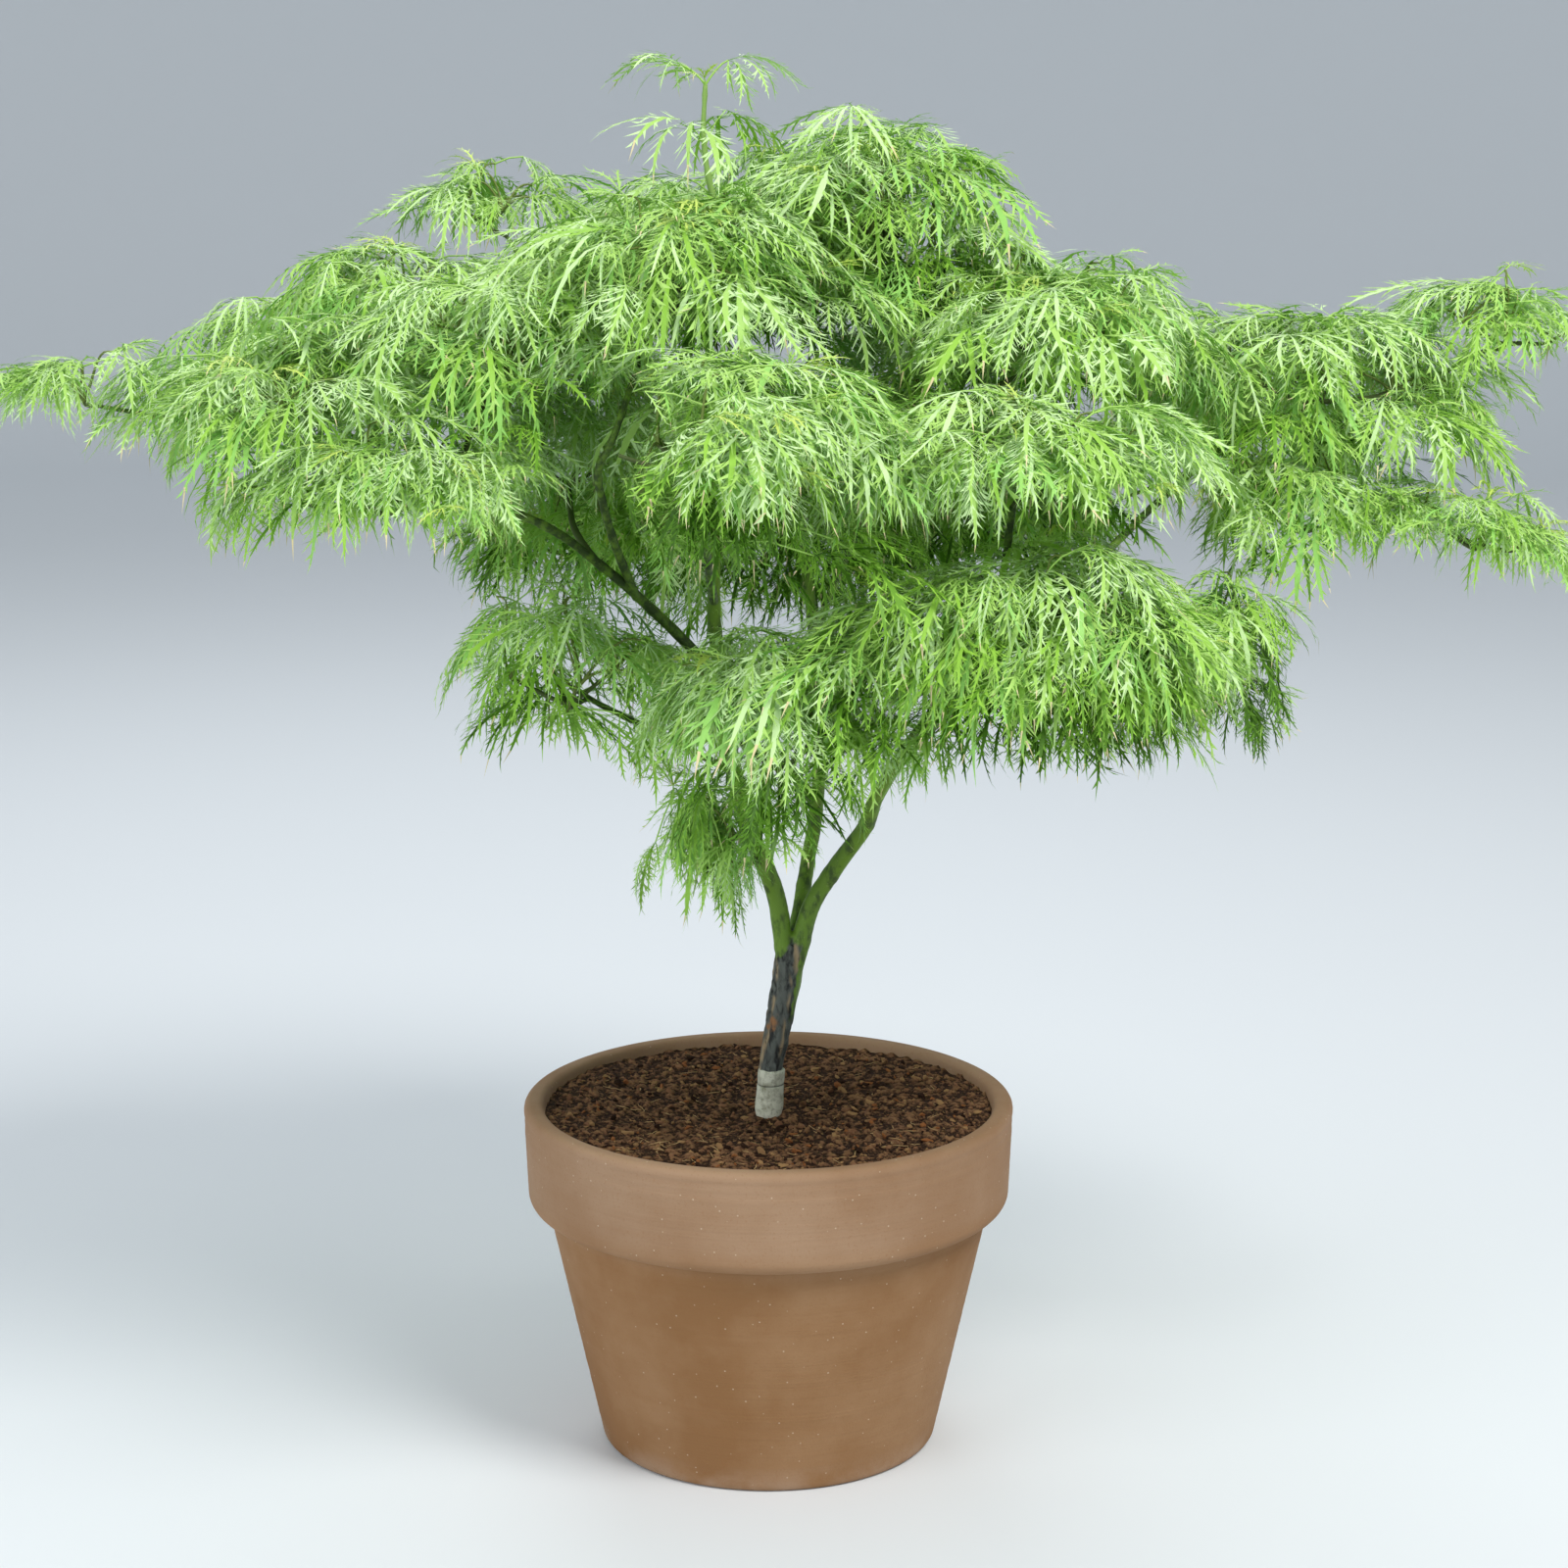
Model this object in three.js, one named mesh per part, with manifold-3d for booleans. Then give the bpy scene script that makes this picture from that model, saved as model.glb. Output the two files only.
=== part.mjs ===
// A young laceleaf japanese maple in a plain terracotta pot. Millimetres, +Z up, front towards -Y.
// The origin is the centre of the pot's flat underside.
import * as THREE from 'three';
import { mergeVertices } from 'three/addons/utils/BufferGeometryUtils.js';
import Module from 'manifold-3d';

const wasm = await Module();
wasm.setup();

// ---------------------------------------------------------------- driving dimensions

const GAP = 0.3; // clearance between pieces that touch
const CUT_GAP = 0.5; // how much larger a neighbour is made before it is cut away, which leaves about GAP

const POT = {
  height: 200,
  rimRadius: 140,
  rimFootRadius: 138, // the rim band narrows a little towards its lower edge
  rimDepth: 59,
  rimRounding: 4,
  rimFootRounding: 7, // the lower edge of the rim band
  mouthRadius: 128.5, // inside the rim
  shoulderRadius: 127.5, // the body's radius where it meets the rim band
  baseRadius: 97,
  baseRounding: 4,
  floor: 14,
  innerFloorRadius: 86,
  sides: 32,
};
const DRAIN = { count: 3, radius: 7, circle: 45, sides: 12 };

const SOIL_TOP = 190; // level of the soil round the trunk
const SOIL = { edgeRise: 5, seatRadius: 16, unevenness: 0.9, waves: 0.12, rings: 4 };

const TRUNK = {
  route: [[0, 0, SOIL_TOP + GAP], [0.2, 0, 203], [2, 0, 222], [5.5, 0, 241], [9.5, 1, 266], [13, 3, 290]],
  radii: [6.9, 6.8, 7.5, 8, 8.2, 8],
  sides: 12,
  steps: 10,
};
const WRAP = { top: [1.4, 0, 217], radii: [8.3, 8.1, 8.4], steps: 2 }; // pale sleeve over the graft

// Limbs and boughs: a route from where each one leaves its parent to where it enters the leaves.
// The radius tapers from the first value to the second. The order is the order in which they are cut:
// each one gives way to those above it.
const LIMB_SIDES = 8;
const BOUGH_SIDES = 6;
const LIMBS = {
  limb_left: {
    route: [[9, 1, 286], [5, 0, 316], [-2, -6, 338], [-11, -9, 360], [-20, -5, 397], [-26, 0, 441],
      [-30, 2, 478], [-30, 6, 530], [-35, 2, 590]],
    radius: [5.6, 2.8],
  },
  limb_right: {
    route: [[17, 1, 286], [24, 0, 312], [37, -5, 335], [54, -20, 363], [61, -30, 384], [78, -48, 416],
      [102, -72, 452]],
    radius: [5.6, 3.2],
  },
  limb_middle: {
    route: [[14, 8, 286], [19, 20, 312], [23, 31, 334], [27, 39, 356], [30, 44, 400], [27, 47, 450],
      [18, 44, 520], [2, 36, 590]],
    radius: [4.6, 2.6],
  },
};
const BOUGHS = {
  bough_left: {
    route: [[-26, 0, 436], [-40, -4, 458], [-67, -18, 488], [-89, -32, 510], [-119, -50, 535],
      [-165, -66, 556]],
    radius: [3.4, 2],
  },
  bough_left_rising: {
    route: [[-72, -21, 492], [-82, -40, 522], [-88, -62, 550], [-89, -76, 569], [-80, -84, 588],
      [-62, -62, 640]],
    radius: [2.5, 1.6],
  },
  bough_left_low: {
    route: [[-19, -5, 391], [-46, 0, 404], [-72, -6, 419], [-93, -18, 432], [-108, -30, 444]],
    radius: [2.3, 1.5],
  },
  bough_front: {
    route: [[-20, -6, 402], [-16, -40, 418], [-8, -80, 436], [-2, -120, 452]],
    radius: [2.4, 1.6],
  },
  bough_front_rising: {
    route: [[-30, 2, 486], [-32, -40, 512], [-32, -90, 538], [-30, -140, 566]],
    radius: [2.6, 1.7],
  },
  twig_tuft: {
    route: [[-6, -8, 350], [-14, -26, 356], [-20, -44, 366]],
    radius: [1.7, 1.2],
  },
  bough_right: {
    route: [[92, -62, 438], [106, -92, 464], [118, -118, 492], [126, -136, 556]],
    radius: [2.8, 1.8],
  },
  bough_wing_right: {
    route: [[72, -42, 404], [110, -36, 444], [160, -18, 490], [215, 8, 540], [268, 28, 582]],
    radius: [2.9, 1.8],
  },
  bough_shoulder_right: {
    route: [[27, 47, 462], [50, 34, 520], [84, 12, 568], [124, -8, 606]],
    radius: [2.4, 1.7],
  },
  bough_back_left: {
    route: [[27, 39, 362], [-10, 78, 410], [-54, 124, 450], [-104, 164, 494], [-150, 180, 572]],
    radius: [2.8, 1.7],
  },
  bough_back_right: {
    route: [[30, 44, 396], [58, 86, 432], [90, 130, 464], [120, 160, 510], [140, 168, 584]],
    radius: [2.8, 1.7],
  },
  bough_back: {
    route: [[29, 46, 424], [26, 104, 474], [10, 164, 520], [0, 210, 562]],
    radius: [2.6, 1.7],
  },
  leader: {
    route: [[-24, 22, 690], [-32, 20, 716], [-35, 20, 742], [-34, 20, 768]],
    radius: [2, 1.2],
  },
  twig_crest_left: {
    route: [[-112, -20, 652], [-130, 26, 664], [-146, 60, 684]],
    radius: [1.7, 1.2],
  },
  twig_tip_left: {
    route: [[-306, -34, 588], [-334, -28, 593], [-362, -22, 597]],
    radius: [1.6, 1.1],
  },
  twig_tip_right_up: {
    route: [[352, 48, 592], [376, 52, 606], [400, 57, 620]],
    radius: [1.6, 1.1],
  },
  twig_tip_right_low: {
    route: [[312, -18, 530], [340, -24, 534], [368, -28, 530]],
    radius: [1.6, 1.1],
  },
  twig_drop_right: {
    route: [[190, -118, 500], [212, -104, 501], [234, -90, 490]],
    radius: [1.6, 1.1],
  },
};

// Masses of leaves. at is the middle of the edge, half the half-width and half-depth, rise and sag how far
// the mass reaches above and below its edge, fall how much the edge drops away per millimetre towards +X.
// The large ones have a finer surface, and the shaded ones are of a deeper green. Each one gives way to
// the limbs and to the masses above it.
const EDGE_WAVES = [{ count: 3, depth: 0.08 }, { count: 5, depth: 0.05 }];
const CROWN_WAVE = { rate: 4, depth: 0.1 };
const PHASE_STEP = 1.7; // how far the waves turn from one mass to the next, so that no two are alike
const MASSES = {
  leaves_centre_upper: { at: [-41, -30, 658], half: [74, 82], rise: 52, sag: 34, fine: true },
  leaves_front_dome: { at: [-28, -170, 572], half: [88, 92], rise: 66, sag: 40, fine: true },
  leaves_low_right: { at: [134, -150, 470], half: [96, 84], rise: 66, sag: 50, fine: true },
  leaves_shoulder_right: { at: [153, -20, 624], half: [72, 84], rise: 48, sag: 34, fine: true },
  leaves_front_right: { at: [130, -136, 568], half: [92, 82], rise: 42, sag: 28, fine: true },
  leaves_wing_right: { at: [304, 40, 592], half: [96, 72], rise: 54, sag: 34, fall: 0.12, fine: true },
  leaves_wing_left: { at: [-256, -40, 592], half: [80, 78], rise: 44, sag: 30, fall: -0.14, fine: true },
  leaves_fringe_left: { at: [-200, -104, 552], half: [86, 66], rise: 42, sag: 28, fall: -0.1 },
  leaves_centre_left: { at: [-138, -46, 632], half: [66, 74], rise: 40, sag: 50 },
  leaves_crest_right: { at: [60, 50, 676], half: [70, 82], rise: 72, sag: 36, fine: true },
  leaves_low_front: { at: [4, -138, 436], half: [64, 62], rise: 58, sag: 64, fine: true },
  leaves_low_left: { at: [-104, -50, 450], half: [70, 62], rise: 54, sag: 56, tone: 'deep' },
  leaves_inner_right: { at: [84, 20, 566], half: [58, 70], rise: 46, sag: 52, tone: 'deep' },
  leaves_inner_left: { at: [-110, 44, 556], half: [64, 58], rise: 46, sag: 46 },
  leaves_inner_back: { at: [4, 98, 508], half: [98, 62], rise: 72, sag: 52, tone: 'deep' },
  leaves_crest_back: { at: [-38, 132, 656], half: [98, 82], rise: 60, sag: 36 },
  leaves_back_left: { at: [-172, 184, 600], half: [92, 78], rise: 48, sag: 36 },
  leaves_back_right: { at: [146, 172, 612], half: [90, 84], rise: 50, sag: 36 },
  leaves_back_middle: { at: [-14, 238, 552], half: [88, 74], rise: 36, sag: 32 },
  leaves_back_low_left: { at: [-114, 186, 490], half: [80, 72], rise: 46, sag: 38, tone: 'deep' },
  leaves_back_low_right: { at: [124, 178, 500], half: [82, 72], rise: 48, sag: 38, tone: 'deep' },
  leaves_back_tip: { at: [44, 308, 534], half: [64, 54], rise: 34, sag: 26 },
  leaves_wing_back_left: { at: [-292, 104, 580], half: [70, 62], rise: 36, sag: 28, fall: -0.15 },
  leaves_wing_back_right: { at: [276, 150, 562], half: [72, 62], rise: 38, sag: 30, fall: 0.15 },
  leaves_leaf_right: { at: [289, -16, 530], half: [54, 52], rise: 44, sag: 28, tone: 'deep' },
  leaves_drop_right: { at: [246, -82, 468], half: [38, 38], rise: 44, sag: 56, tone: 'deep' },
  leaves_shoulder_middle: { at: [-208, 26, 650], half: [46, 54], rise: 32, sag: 24 },
  leaves_shoulder_left: { at: [-276, 66, 630], half: [44, 48], rise: 24, sag: 18, fall: -0.25 },
  leaves_crest_left: { at: [-155, 80, 690], half: [42, 48], rise: 34, sag: 20 },
  leaves_spire_foot: { at: [-45, 20, 724], half: [72, 50], rise: 30, sag: 22 },
  leaves_spire_tip: { at: [-35, 20, 768], half: [42, 36], rise: 23, sag: 16 },
  leaves_tip_left: { at: [-372, -20, 600], half: [48, 36], rise: 24, sag: 18 },
  leaves_tip_right_up: { at: [414, 60, 626], half: [60, 42], rise: 34, sag: 24, fall: 0.2 },
  leaves_tip_right_low: { at: [392, -30, 522], half: [66, 40], rise: 28, sag: 22, fall: 0.4 },
  leaves_tuft: { at: [-30, -60, 358], half: [32, 32], rise: 40, sag: 46, tone: 'deep' },
};

// ---------------------------------------------------------------- finishes

const finish = (color, roughness) => new THREE.MeshStandardMaterial({ color, roughness, metalness: 0 });
const FINISHES = {
  terracotta: () => finish(0xa07a55, 0.85),
  soil: () => finish(0x43302a, 0.95),
  bark: () => finish(0x4a4b45, 0.9),
  wrap: () => finish(0x7d8077, 0.8),
  greenwood: () => finish(0x41582e, 0.7),
  light: () => finish(0x9cc46a, 0.7),
  deep: () => finish(0x6d9440, 0.7),
};

// ---------------------------------------------------------------- solids

// A closed geometry as a manifold solid, its faces turned outwards.
function toSolid(geometry) {
  const bare = geometry.index ? geometry.toNonIndexed() : geometry.clone();
  bare.deleteAttribute('normal');
  bare.deleteAttribute('uv');
  const merged = mergeVertices(bare, 1e-4);
  const vertProperties = new Float32Array(merged.attributes.position.array);
  const corners = [...merged.index.array];
  const triangles = [];
  for (let i = 0; i < corners.length; i += 3) {
    const [a, b, c] = corners.slice(i, i + 3);
    if (a !== b && b !== c && c !== a) triangles.push(a, b, c);
  }
  const build = (list) => new wasm.Manifold(
    new wasm.Mesh({ numProp: 3, vertProperties, triVerts: Uint32Array.from(list) }));
  const solid = build(triangles);
  return solid.volume() > 0 ? solid : build([...triangles].reverse());
}

function toGeometry(solid) {
  const mesh = solid.getMesh();
  const geometry = new THREE.BufferGeometry();
  geometry.setAttribute('position', new THREE.BufferAttribute(mesh.vertProperties, 3));
  geometry.setIndex(new THREE.BufferAttribute(mesh.triVerts, 1));
  geometry.computeVertexNormals();
  return geometry;
}

// A turned piece: profile points are [radius, height], from the axis at the bottom to the axis at the top.
function turned(profile, sides) {
  const geometry = new THREE.LatheGeometry(profile.map(([r, z]) => new THREE.Vector2(r, z)), sides);
  return geometry.rotateX(Math.PI / 2);
}

// A closed cylinder bent along a smooth route, its radius taken evenly along the route from a list.
function limb(route, radii, sides, steps, extra) {
  const curve = new THREE.CatmullRomCurve3(route.map((p) => new THREE.Vector3(...p)));
  const frames = curve.computeFrenetFrames(steps, false);
  const geometry = new THREE.CylinderGeometry(1, 1, 1, sides, steps);
  const position = geometry.attributes.position;
  for (let i = 0; i < position.count; i++) {
    const along = position.getY(i) + 0.5;
    const row = Math.round(along * steps);
    const place = along * (radii.length - 1);
    const from = Math.min(Math.floor(place), radii.length - 2);
    const radius = THREE.MathUtils.lerp(radii[from], radii[from + 1], place - from) + extra;
    const point = curve.getPointAt(along)
      .addScaledVector(frames.normals[row], position.getX(i) * radius)
      .addScaledVector(frames.binormals[row], position.getZ(i) * radius)
      .addScaledVector(frames.tangents[row], (along === 0 ? -1 : along === 1 ? 1 : 0) * extra);
    position.setXYZ(i, point.x, point.y, point.z);
  }
  return toSolid(geometry);
}

// One uneven mass of leaves: a low dome over a shallower belly, with a wavy edge. extra swells it evenly.
function leafMass({ at, half, rise, sag, fall = 0, fine = false }, phase, extra) {
  const geometry = new THREE.IcosahedronGeometry(1, fine ? 2 : 1);
  const position = geometry.attributes.position;
  const direction = new THREE.Vector3();
  for (let i = 0; i < position.count; i++) {
    direction.fromBufferAttribute(position, i);
    const around = Math.atan2(direction.y, direction.x);
    const out = Math.hypot(direction.x, direction.y);
    let edge = 1;
    for (const { count, depth } of EDGE_WAVES) edge += out * depth * Math.sin(count * (around + phase));
    const crown = 1 + CROWN_WAVE.depth * Math.sin(CROWN_WAVE.rate * direction.x + phase)
      * Math.cos(CROWN_WAVE.rate * direction.y + phase);
    const height = direction.z > 0 ? rise : sag;
    const x = direction.x * (half[0] * edge + extra);
    const y = direction.y * (half[1] * edge + extra);
    const z = direction.z * (height * crown + extra);
    position.setXYZ(i, at[0] + x, at[1] + y, at[2] + z - fall * x);
  }
  return toSolid(geometry);
}

// ---------------------------------------------------------------- building

const cutters = []; // a slightly larger copy of every piece so far, which its neighbours are cut by

// Cuts a solid by the pieces already placed that it meets, and keeps its largest part.
function givenWay(solid) {
  let rest = solid;
  for (const cutter of cutters) rest = rest.subtract(cutter);
  return rest.decompose().sort((a, b) => b.volume() - a.volume())[0];
}

const plant = new THREE.Group();

function place(name, tone, solid, cutter = null) {
  const mesh = new THREE.Mesh(toGeometry(solid), FINISHES[tone]());
  mesh.name = name;
  plant.add(mesh);
  if (cutter) cutters.push(cutter);
}

// The inner wall's radius at a height, from the floor up to the mouth.
function innerRadius(z) {
  const share = (z - POT.floor) / (POT.height - POT.rimRounding - POT.floor);
  return THREE.MathUtils.lerp(POT.innerFloorRadius, POT.mouthRadius, share);
}

function pot() {
  const r = POT.rimRounding;
  const foot = POT.rimFootRounding;
  const rimFoot = POT.height - POT.rimDepth;
  const mouthTop = POT.height - r;
  const body = turned([
    [0, 0],
    [POT.baseRadius - POT.baseRounding, 0],
    [POT.baseRadius - 0.3 * POT.baseRounding, 0.3 * POT.baseRounding],
    [POT.baseRadius, POT.baseRounding],
    [POT.shoulderRadius, rimFoot],
    [POT.rimFootRadius - foot, rimFoot],
    [POT.rimFootRadius - 0.3 * foot, rimFoot + 0.3 * foot],
    [POT.rimFootRadius, rimFoot + foot],
    [POT.rimRadius, mouthTop],
    [POT.rimRadius - 0.3 * r, POT.height - 0.3 * r],
    [POT.rimRadius - r, POT.height],
    [POT.mouthRadius + r, POT.height],
    [POT.mouthRadius + 0.3 * r, POT.height - 0.3 * r],
    [POT.mouthRadius, mouthTop],
    [POT.innerFloorRadius, POT.floor],
    [0, POT.floor],
  ], POT.sides);
  let solid = toSolid(body);
  for (let i = 0; i < DRAIN.count; i++) {
    const angle = Math.PI / 2 + (i * 2 * Math.PI) / DRAIN.count;
    const hole = new THREE.CylinderGeometry(DRAIN.radius, DRAIN.radius, 3 * POT.floor, DRAIN.sides)
      .rotateX(Math.PI / 2)
      .translate(DRAIN.circle * Math.cos(angle), DRAIN.circle * Math.sin(angle), POT.floor / 2);
    solid = solid.subtract(toSolid(hole));
  }
  place('pot', 'terracotta', solid);
}

// Soil in a shallow uneven dish, higher along the wall, with a flat seat for the trunk.
function soil() {
  const bottom = POT.floor + GAP;
  const edgeTop = SOIL_TOP + SOIL.edgeRise;
  const edgeRadius = innerRadius(edgeTop) - GAP;
  const profile = [[0, bottom], [innerRadius(bottom) - 2 * GAP, bottom], [edgeRadius, edgeTop]];
  for (let i = 1; i < SOIL.rings; i++) {
    const share = i / SOIL.rings;
    const radius = THREE.MathUtils.lerp(edgeRadius, SOIL.seatRadius, share);
    profile.push([radius, SOIL_TOP + SOIL.edgeRise * (1 - share) ** 2]);
  }
  profile.push([SOIL.seatRadius, SOIL_TOP], [0, SOIL_TOP]);
  const geometry = turned(profile, POT.sides);
  const position = geometry.attributes.position;
  for (let i = 0; i < position.count; i++) {
    const [x, y, z] = [position.getX(i), position.getY(i), position.getZ(i)];
    const radius = Math.hypot(x, y);
    if (z < SOIL_TOP || radius < SOIL.seatRadius + 0.01 || radius > edgeRadius - 0.01) continue;
    position.setZ(i, z + SOIL.unevenness * Math.sin(SOIL.waves * x + 1) * Math.sin(SOIL.waves * y + 2));
  }
  place('soil', 'soil', toSolid(geometry));
}

function trunk() {
  const make = (extra) => limb(TRUNK.route, TRUNK.radii, TRUNK.sides, TRUNK.steps, extra);
  const cutter = make(CUT_GAP);
  place('trunk', 'bark', make(0), cutter);
  const foot = TRUNK.route[0];
  const sleeve = limb([foot, TRUNK.route[1], WRAP.top], WRAP.radii, TRUNK.sides, WRAP.steps, 0);
  place('graft_wrap', 'wrap', sleeve.subtract(cutter));
}

function limbs(table, sides) {
  for (const [name, { route, radius }] of Object.entries(table)) {
    const make = (extra) => limb(route, radius, sides, route.length - 1, extra);
    place(name, 'greenwood', givenWay(make(0)), make(CUT_GAP));
  }
}

function masses() {
  Object.entries(MASSES).forEach(([name, sizes], index) => {
    const make = (extra) => leafMass(sizes, PHASE_STEP * index, extra);
    place(name, sizes.tone ?? 'light', givenWay(make(0)), make(CUT_GAP));
  });
}

pot();
soil();
trunk();
limbs(LIMBS, LIMB_SIDES);
limbs(BOUGHS, BOUGH_SIDES);
masses();

export default plant;
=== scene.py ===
"""Potted laceleaf maple: builds the pot, the compost, the grafted stem, the boughs and the cut leaves
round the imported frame, and sets the stage. Metres, +Z up, the plant's front towards -Y."""

import math
import random

import bmesh
import bpy
import numpy as np
from bpy.props import FloatProperty, FloatVectorProperty, IntProperty, PointerProperty
from mathutils import Matrix, Vector, noise
from mathutils.bvhtree import BVHTree


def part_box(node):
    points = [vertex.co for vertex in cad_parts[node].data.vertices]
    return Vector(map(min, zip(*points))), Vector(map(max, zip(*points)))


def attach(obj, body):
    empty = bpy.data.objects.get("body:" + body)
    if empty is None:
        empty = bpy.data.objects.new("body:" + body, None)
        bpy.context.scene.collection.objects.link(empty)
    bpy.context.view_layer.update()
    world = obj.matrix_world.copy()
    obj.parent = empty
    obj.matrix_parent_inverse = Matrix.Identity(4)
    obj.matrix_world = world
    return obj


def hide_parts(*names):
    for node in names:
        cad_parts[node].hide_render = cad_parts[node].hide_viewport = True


bl_info = {
    "name": "Potted Laceleaf Maple",
    "version": (1, 0, 0),
    "blender": (4, 5, 0),
    "location": "View3D > Sidebar > Maple",
    "description": "Builds a grafted laceleaf maple in its terracotta pot",
    "category": "Add Mesh",
}

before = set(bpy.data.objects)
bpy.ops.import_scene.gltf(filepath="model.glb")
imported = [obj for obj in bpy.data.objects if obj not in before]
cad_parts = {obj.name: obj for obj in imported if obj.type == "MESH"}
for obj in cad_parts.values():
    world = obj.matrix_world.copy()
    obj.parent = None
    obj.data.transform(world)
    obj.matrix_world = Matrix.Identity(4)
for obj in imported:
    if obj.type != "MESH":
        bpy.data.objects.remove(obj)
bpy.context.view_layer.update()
MASSES = [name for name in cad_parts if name.startswith("leaves_")]
MM = 0.001

# Where the wood runs, in millimetres, as the frame has it: a route, then the radius at each end.
TRUNK_ROUTE = [(0, 0, 190.3), (0.2, 0, 203), (2, 0, 222), (5.5, 0, 241), (9.5, 1, 266), (13, 3, 290)]
TRUNK_RADII = [6.8, 6.8, 7.5, 8, 8.2, 8]
LIMBS = {
    "limb_left": ([(9, 1, 286), (5, 0, 316), (-2, -6, 338), (-11, -9, 360), (-20, -5, 397),
                   (-26, 0, 441), (-30, 2, 478), (-30, 6, 530), (-35, 2, 590)], 5.6, 2.8),
    "limb_right": ([(17, 1, 286), (24, 0, 312), (37, -5, 335), (54, -20, 363), (61, -30, 384),
                    (78, -48, 416), (102, -72, 452)], 5.6, 3.2),
    "limb_middle": ([(14, 8, 286), (19, 20, 312), (23, 31, 334), (27, 39, 356), (30, 44, 400),
                     (27, 47, 450), (18, 44, 520), (2, 36, 590)], 4.6, 2.6),
}
# How each limb starts inside the trunk, below its route: places and radii.
LEADS = {
    "limb_left": ([(7, 0.5, 258)], [3.2]),
    "limb_right": ([(11.5, 1, 258)], [3.2]),
    "limb_middle": ([(10.4, 2.6, 240), (13.4, 3.6, 256), (15.8, 5, 272)], [1.6, 2.8, 3.7]),
}
# The boughs and twigs, in the limbs' form.
BOUGHS = {
    "bough_left": ([(-26, 0, 436), (-40, -4, 458), (-67, -18, 488), (-89, -32, 510), (-119, -50, 535),
                    (-165, -66, 556)], 3.4, 2),
    "bough_left_rising": ([(-72, -21, 492), (-82, -40, 522), (-88, -62, 550), (-89, -76, 569),
                           (-80, -84, 588), (-62, -62, 640)], 2.5, 1.6),
    "bough_left_low": ([(-19, -5, 391), (-46, 0, 404), (-72, -6, 419), (-93, -18, 432),
                        (-108, -30, 444)], 2.3, 1.5),
    "bough_front": ([(-20, -6, 402), (-16, -40, 418), (-8, -80, 436), (-2, -120, 452)], 2.4, 1.6),
    "bough_front_rising": ([(-30, 2, 486), (-32, -40, 512), (-32, -90, 538), (-30, -140, 566)], 2.6, 1.7),
    "twig_tuft": ([(-6, -8, 350), (-14, -26, 356), (-20, -44, 366)], 1.7, 1.2),
    "bough_right": ([(92, -62, 438), (106, -92, 464), (118, -118, 492), (126, -136, 556)], 2.8, 1.8),
    "bough_wing_right": ([(72, -42, 404), (110, -36, 444), (160, -18, 490), (215, 8, 540),
                          (268, 28, 582)], 2.9, 1.8),
    "bough_shoulder_right": ([(27, 47, 462), (50, 34, 520), (84, 12, 568), (124, -8, 606)], 2.4, 1.7),
    "bough_back_left": ([(27, 39, 362), (-10, 78, 410), (-54, 124, 450), (-104, 164, 494),
                         (-150, 180, 572)], 2.8, 1.7),
    "bough_back_right": ([(30, 44, 396), (58, 86, 432), (90, 130, 464), (120, 160, 510),
                          (140, 168, 584)], 2.8, 1.7),
    "bough_back": ([(29, 46, 424), (26, 104, 474), (10, 164, 520), (0, 210, 562)], 2.6, 1.7),
    "leader": ([(-24, 22, 690), (-32, 20, 716), (-35, 20, 742), (-34, 20, 768)], 2, 1.2),
    "twig_crest_left": ([(-112, -20, 652), (-130, 26, 664), (-146, 60, 684)], 1.7, 1.2),
    "twig_tip_left": ([(-306, -34, 588), (-334, -28, 593), (-362, -22, 597)], 1.6, 1.1),
    "twig_tip_right_up": ([(352, 48, 592), (376, 52, 606), (400, 57, 620)], 1.6, 1.1),
    "twig_tip_right_low": ([(312, -18, 530), (340, -24, 534), (368, -28, 530)], 1.6, 1.1),
    "twig_drop_right": ([(190, -118, 500), (212, -104, 501), (234, -90, 490)], 1.6, 1.1),
}
# Marks of the old bark, in millimetres.
GREEN_SIDE = (243, 252)  # heights between which the right side of the trunk turns green
BARE_PATCH = (-3.4, 246)  # middle of the bare patch, across the trunk and in height
STRIPES = (-5.8, 3.2)  # where the pale stripes run, across the trunk
STRIPES_START = (222, 232)  # heights between which they start
# Old leaf scars, in metres: from one to the next, where the first is, and how far one reaches along the wood.
SCAR_STEP, SCAR_PLACE, SCAR_REACH = 0.043, 0.02, 0.0035


def tint(red, green, blue):
    """A colour given as the eye sees it, 0 to 255, as the linear values that a shader takes."""
    parts = [c / 255 for c in (red, green, blue)]
    return tuple(c / 12.92 if c <= 0.04045 else ((c + 0.055) / 1.055) ** 2.4 for c in parts)


def colour(name, about, red, green, blue):
    return FloatVectorProperty(name=name, description=about, subtype="COLOR", size=3, min=0, max=1,
                               default=tint(red, green, blue))


def length(name, about, millimetres):
    return FloatProperty(name=name, description=about, subtype="DISTANCE", unit="LENGTH", min=0,
                         default=millimetres * MM)


# ---------------------------------------------------------------- sizes and colours


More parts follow.
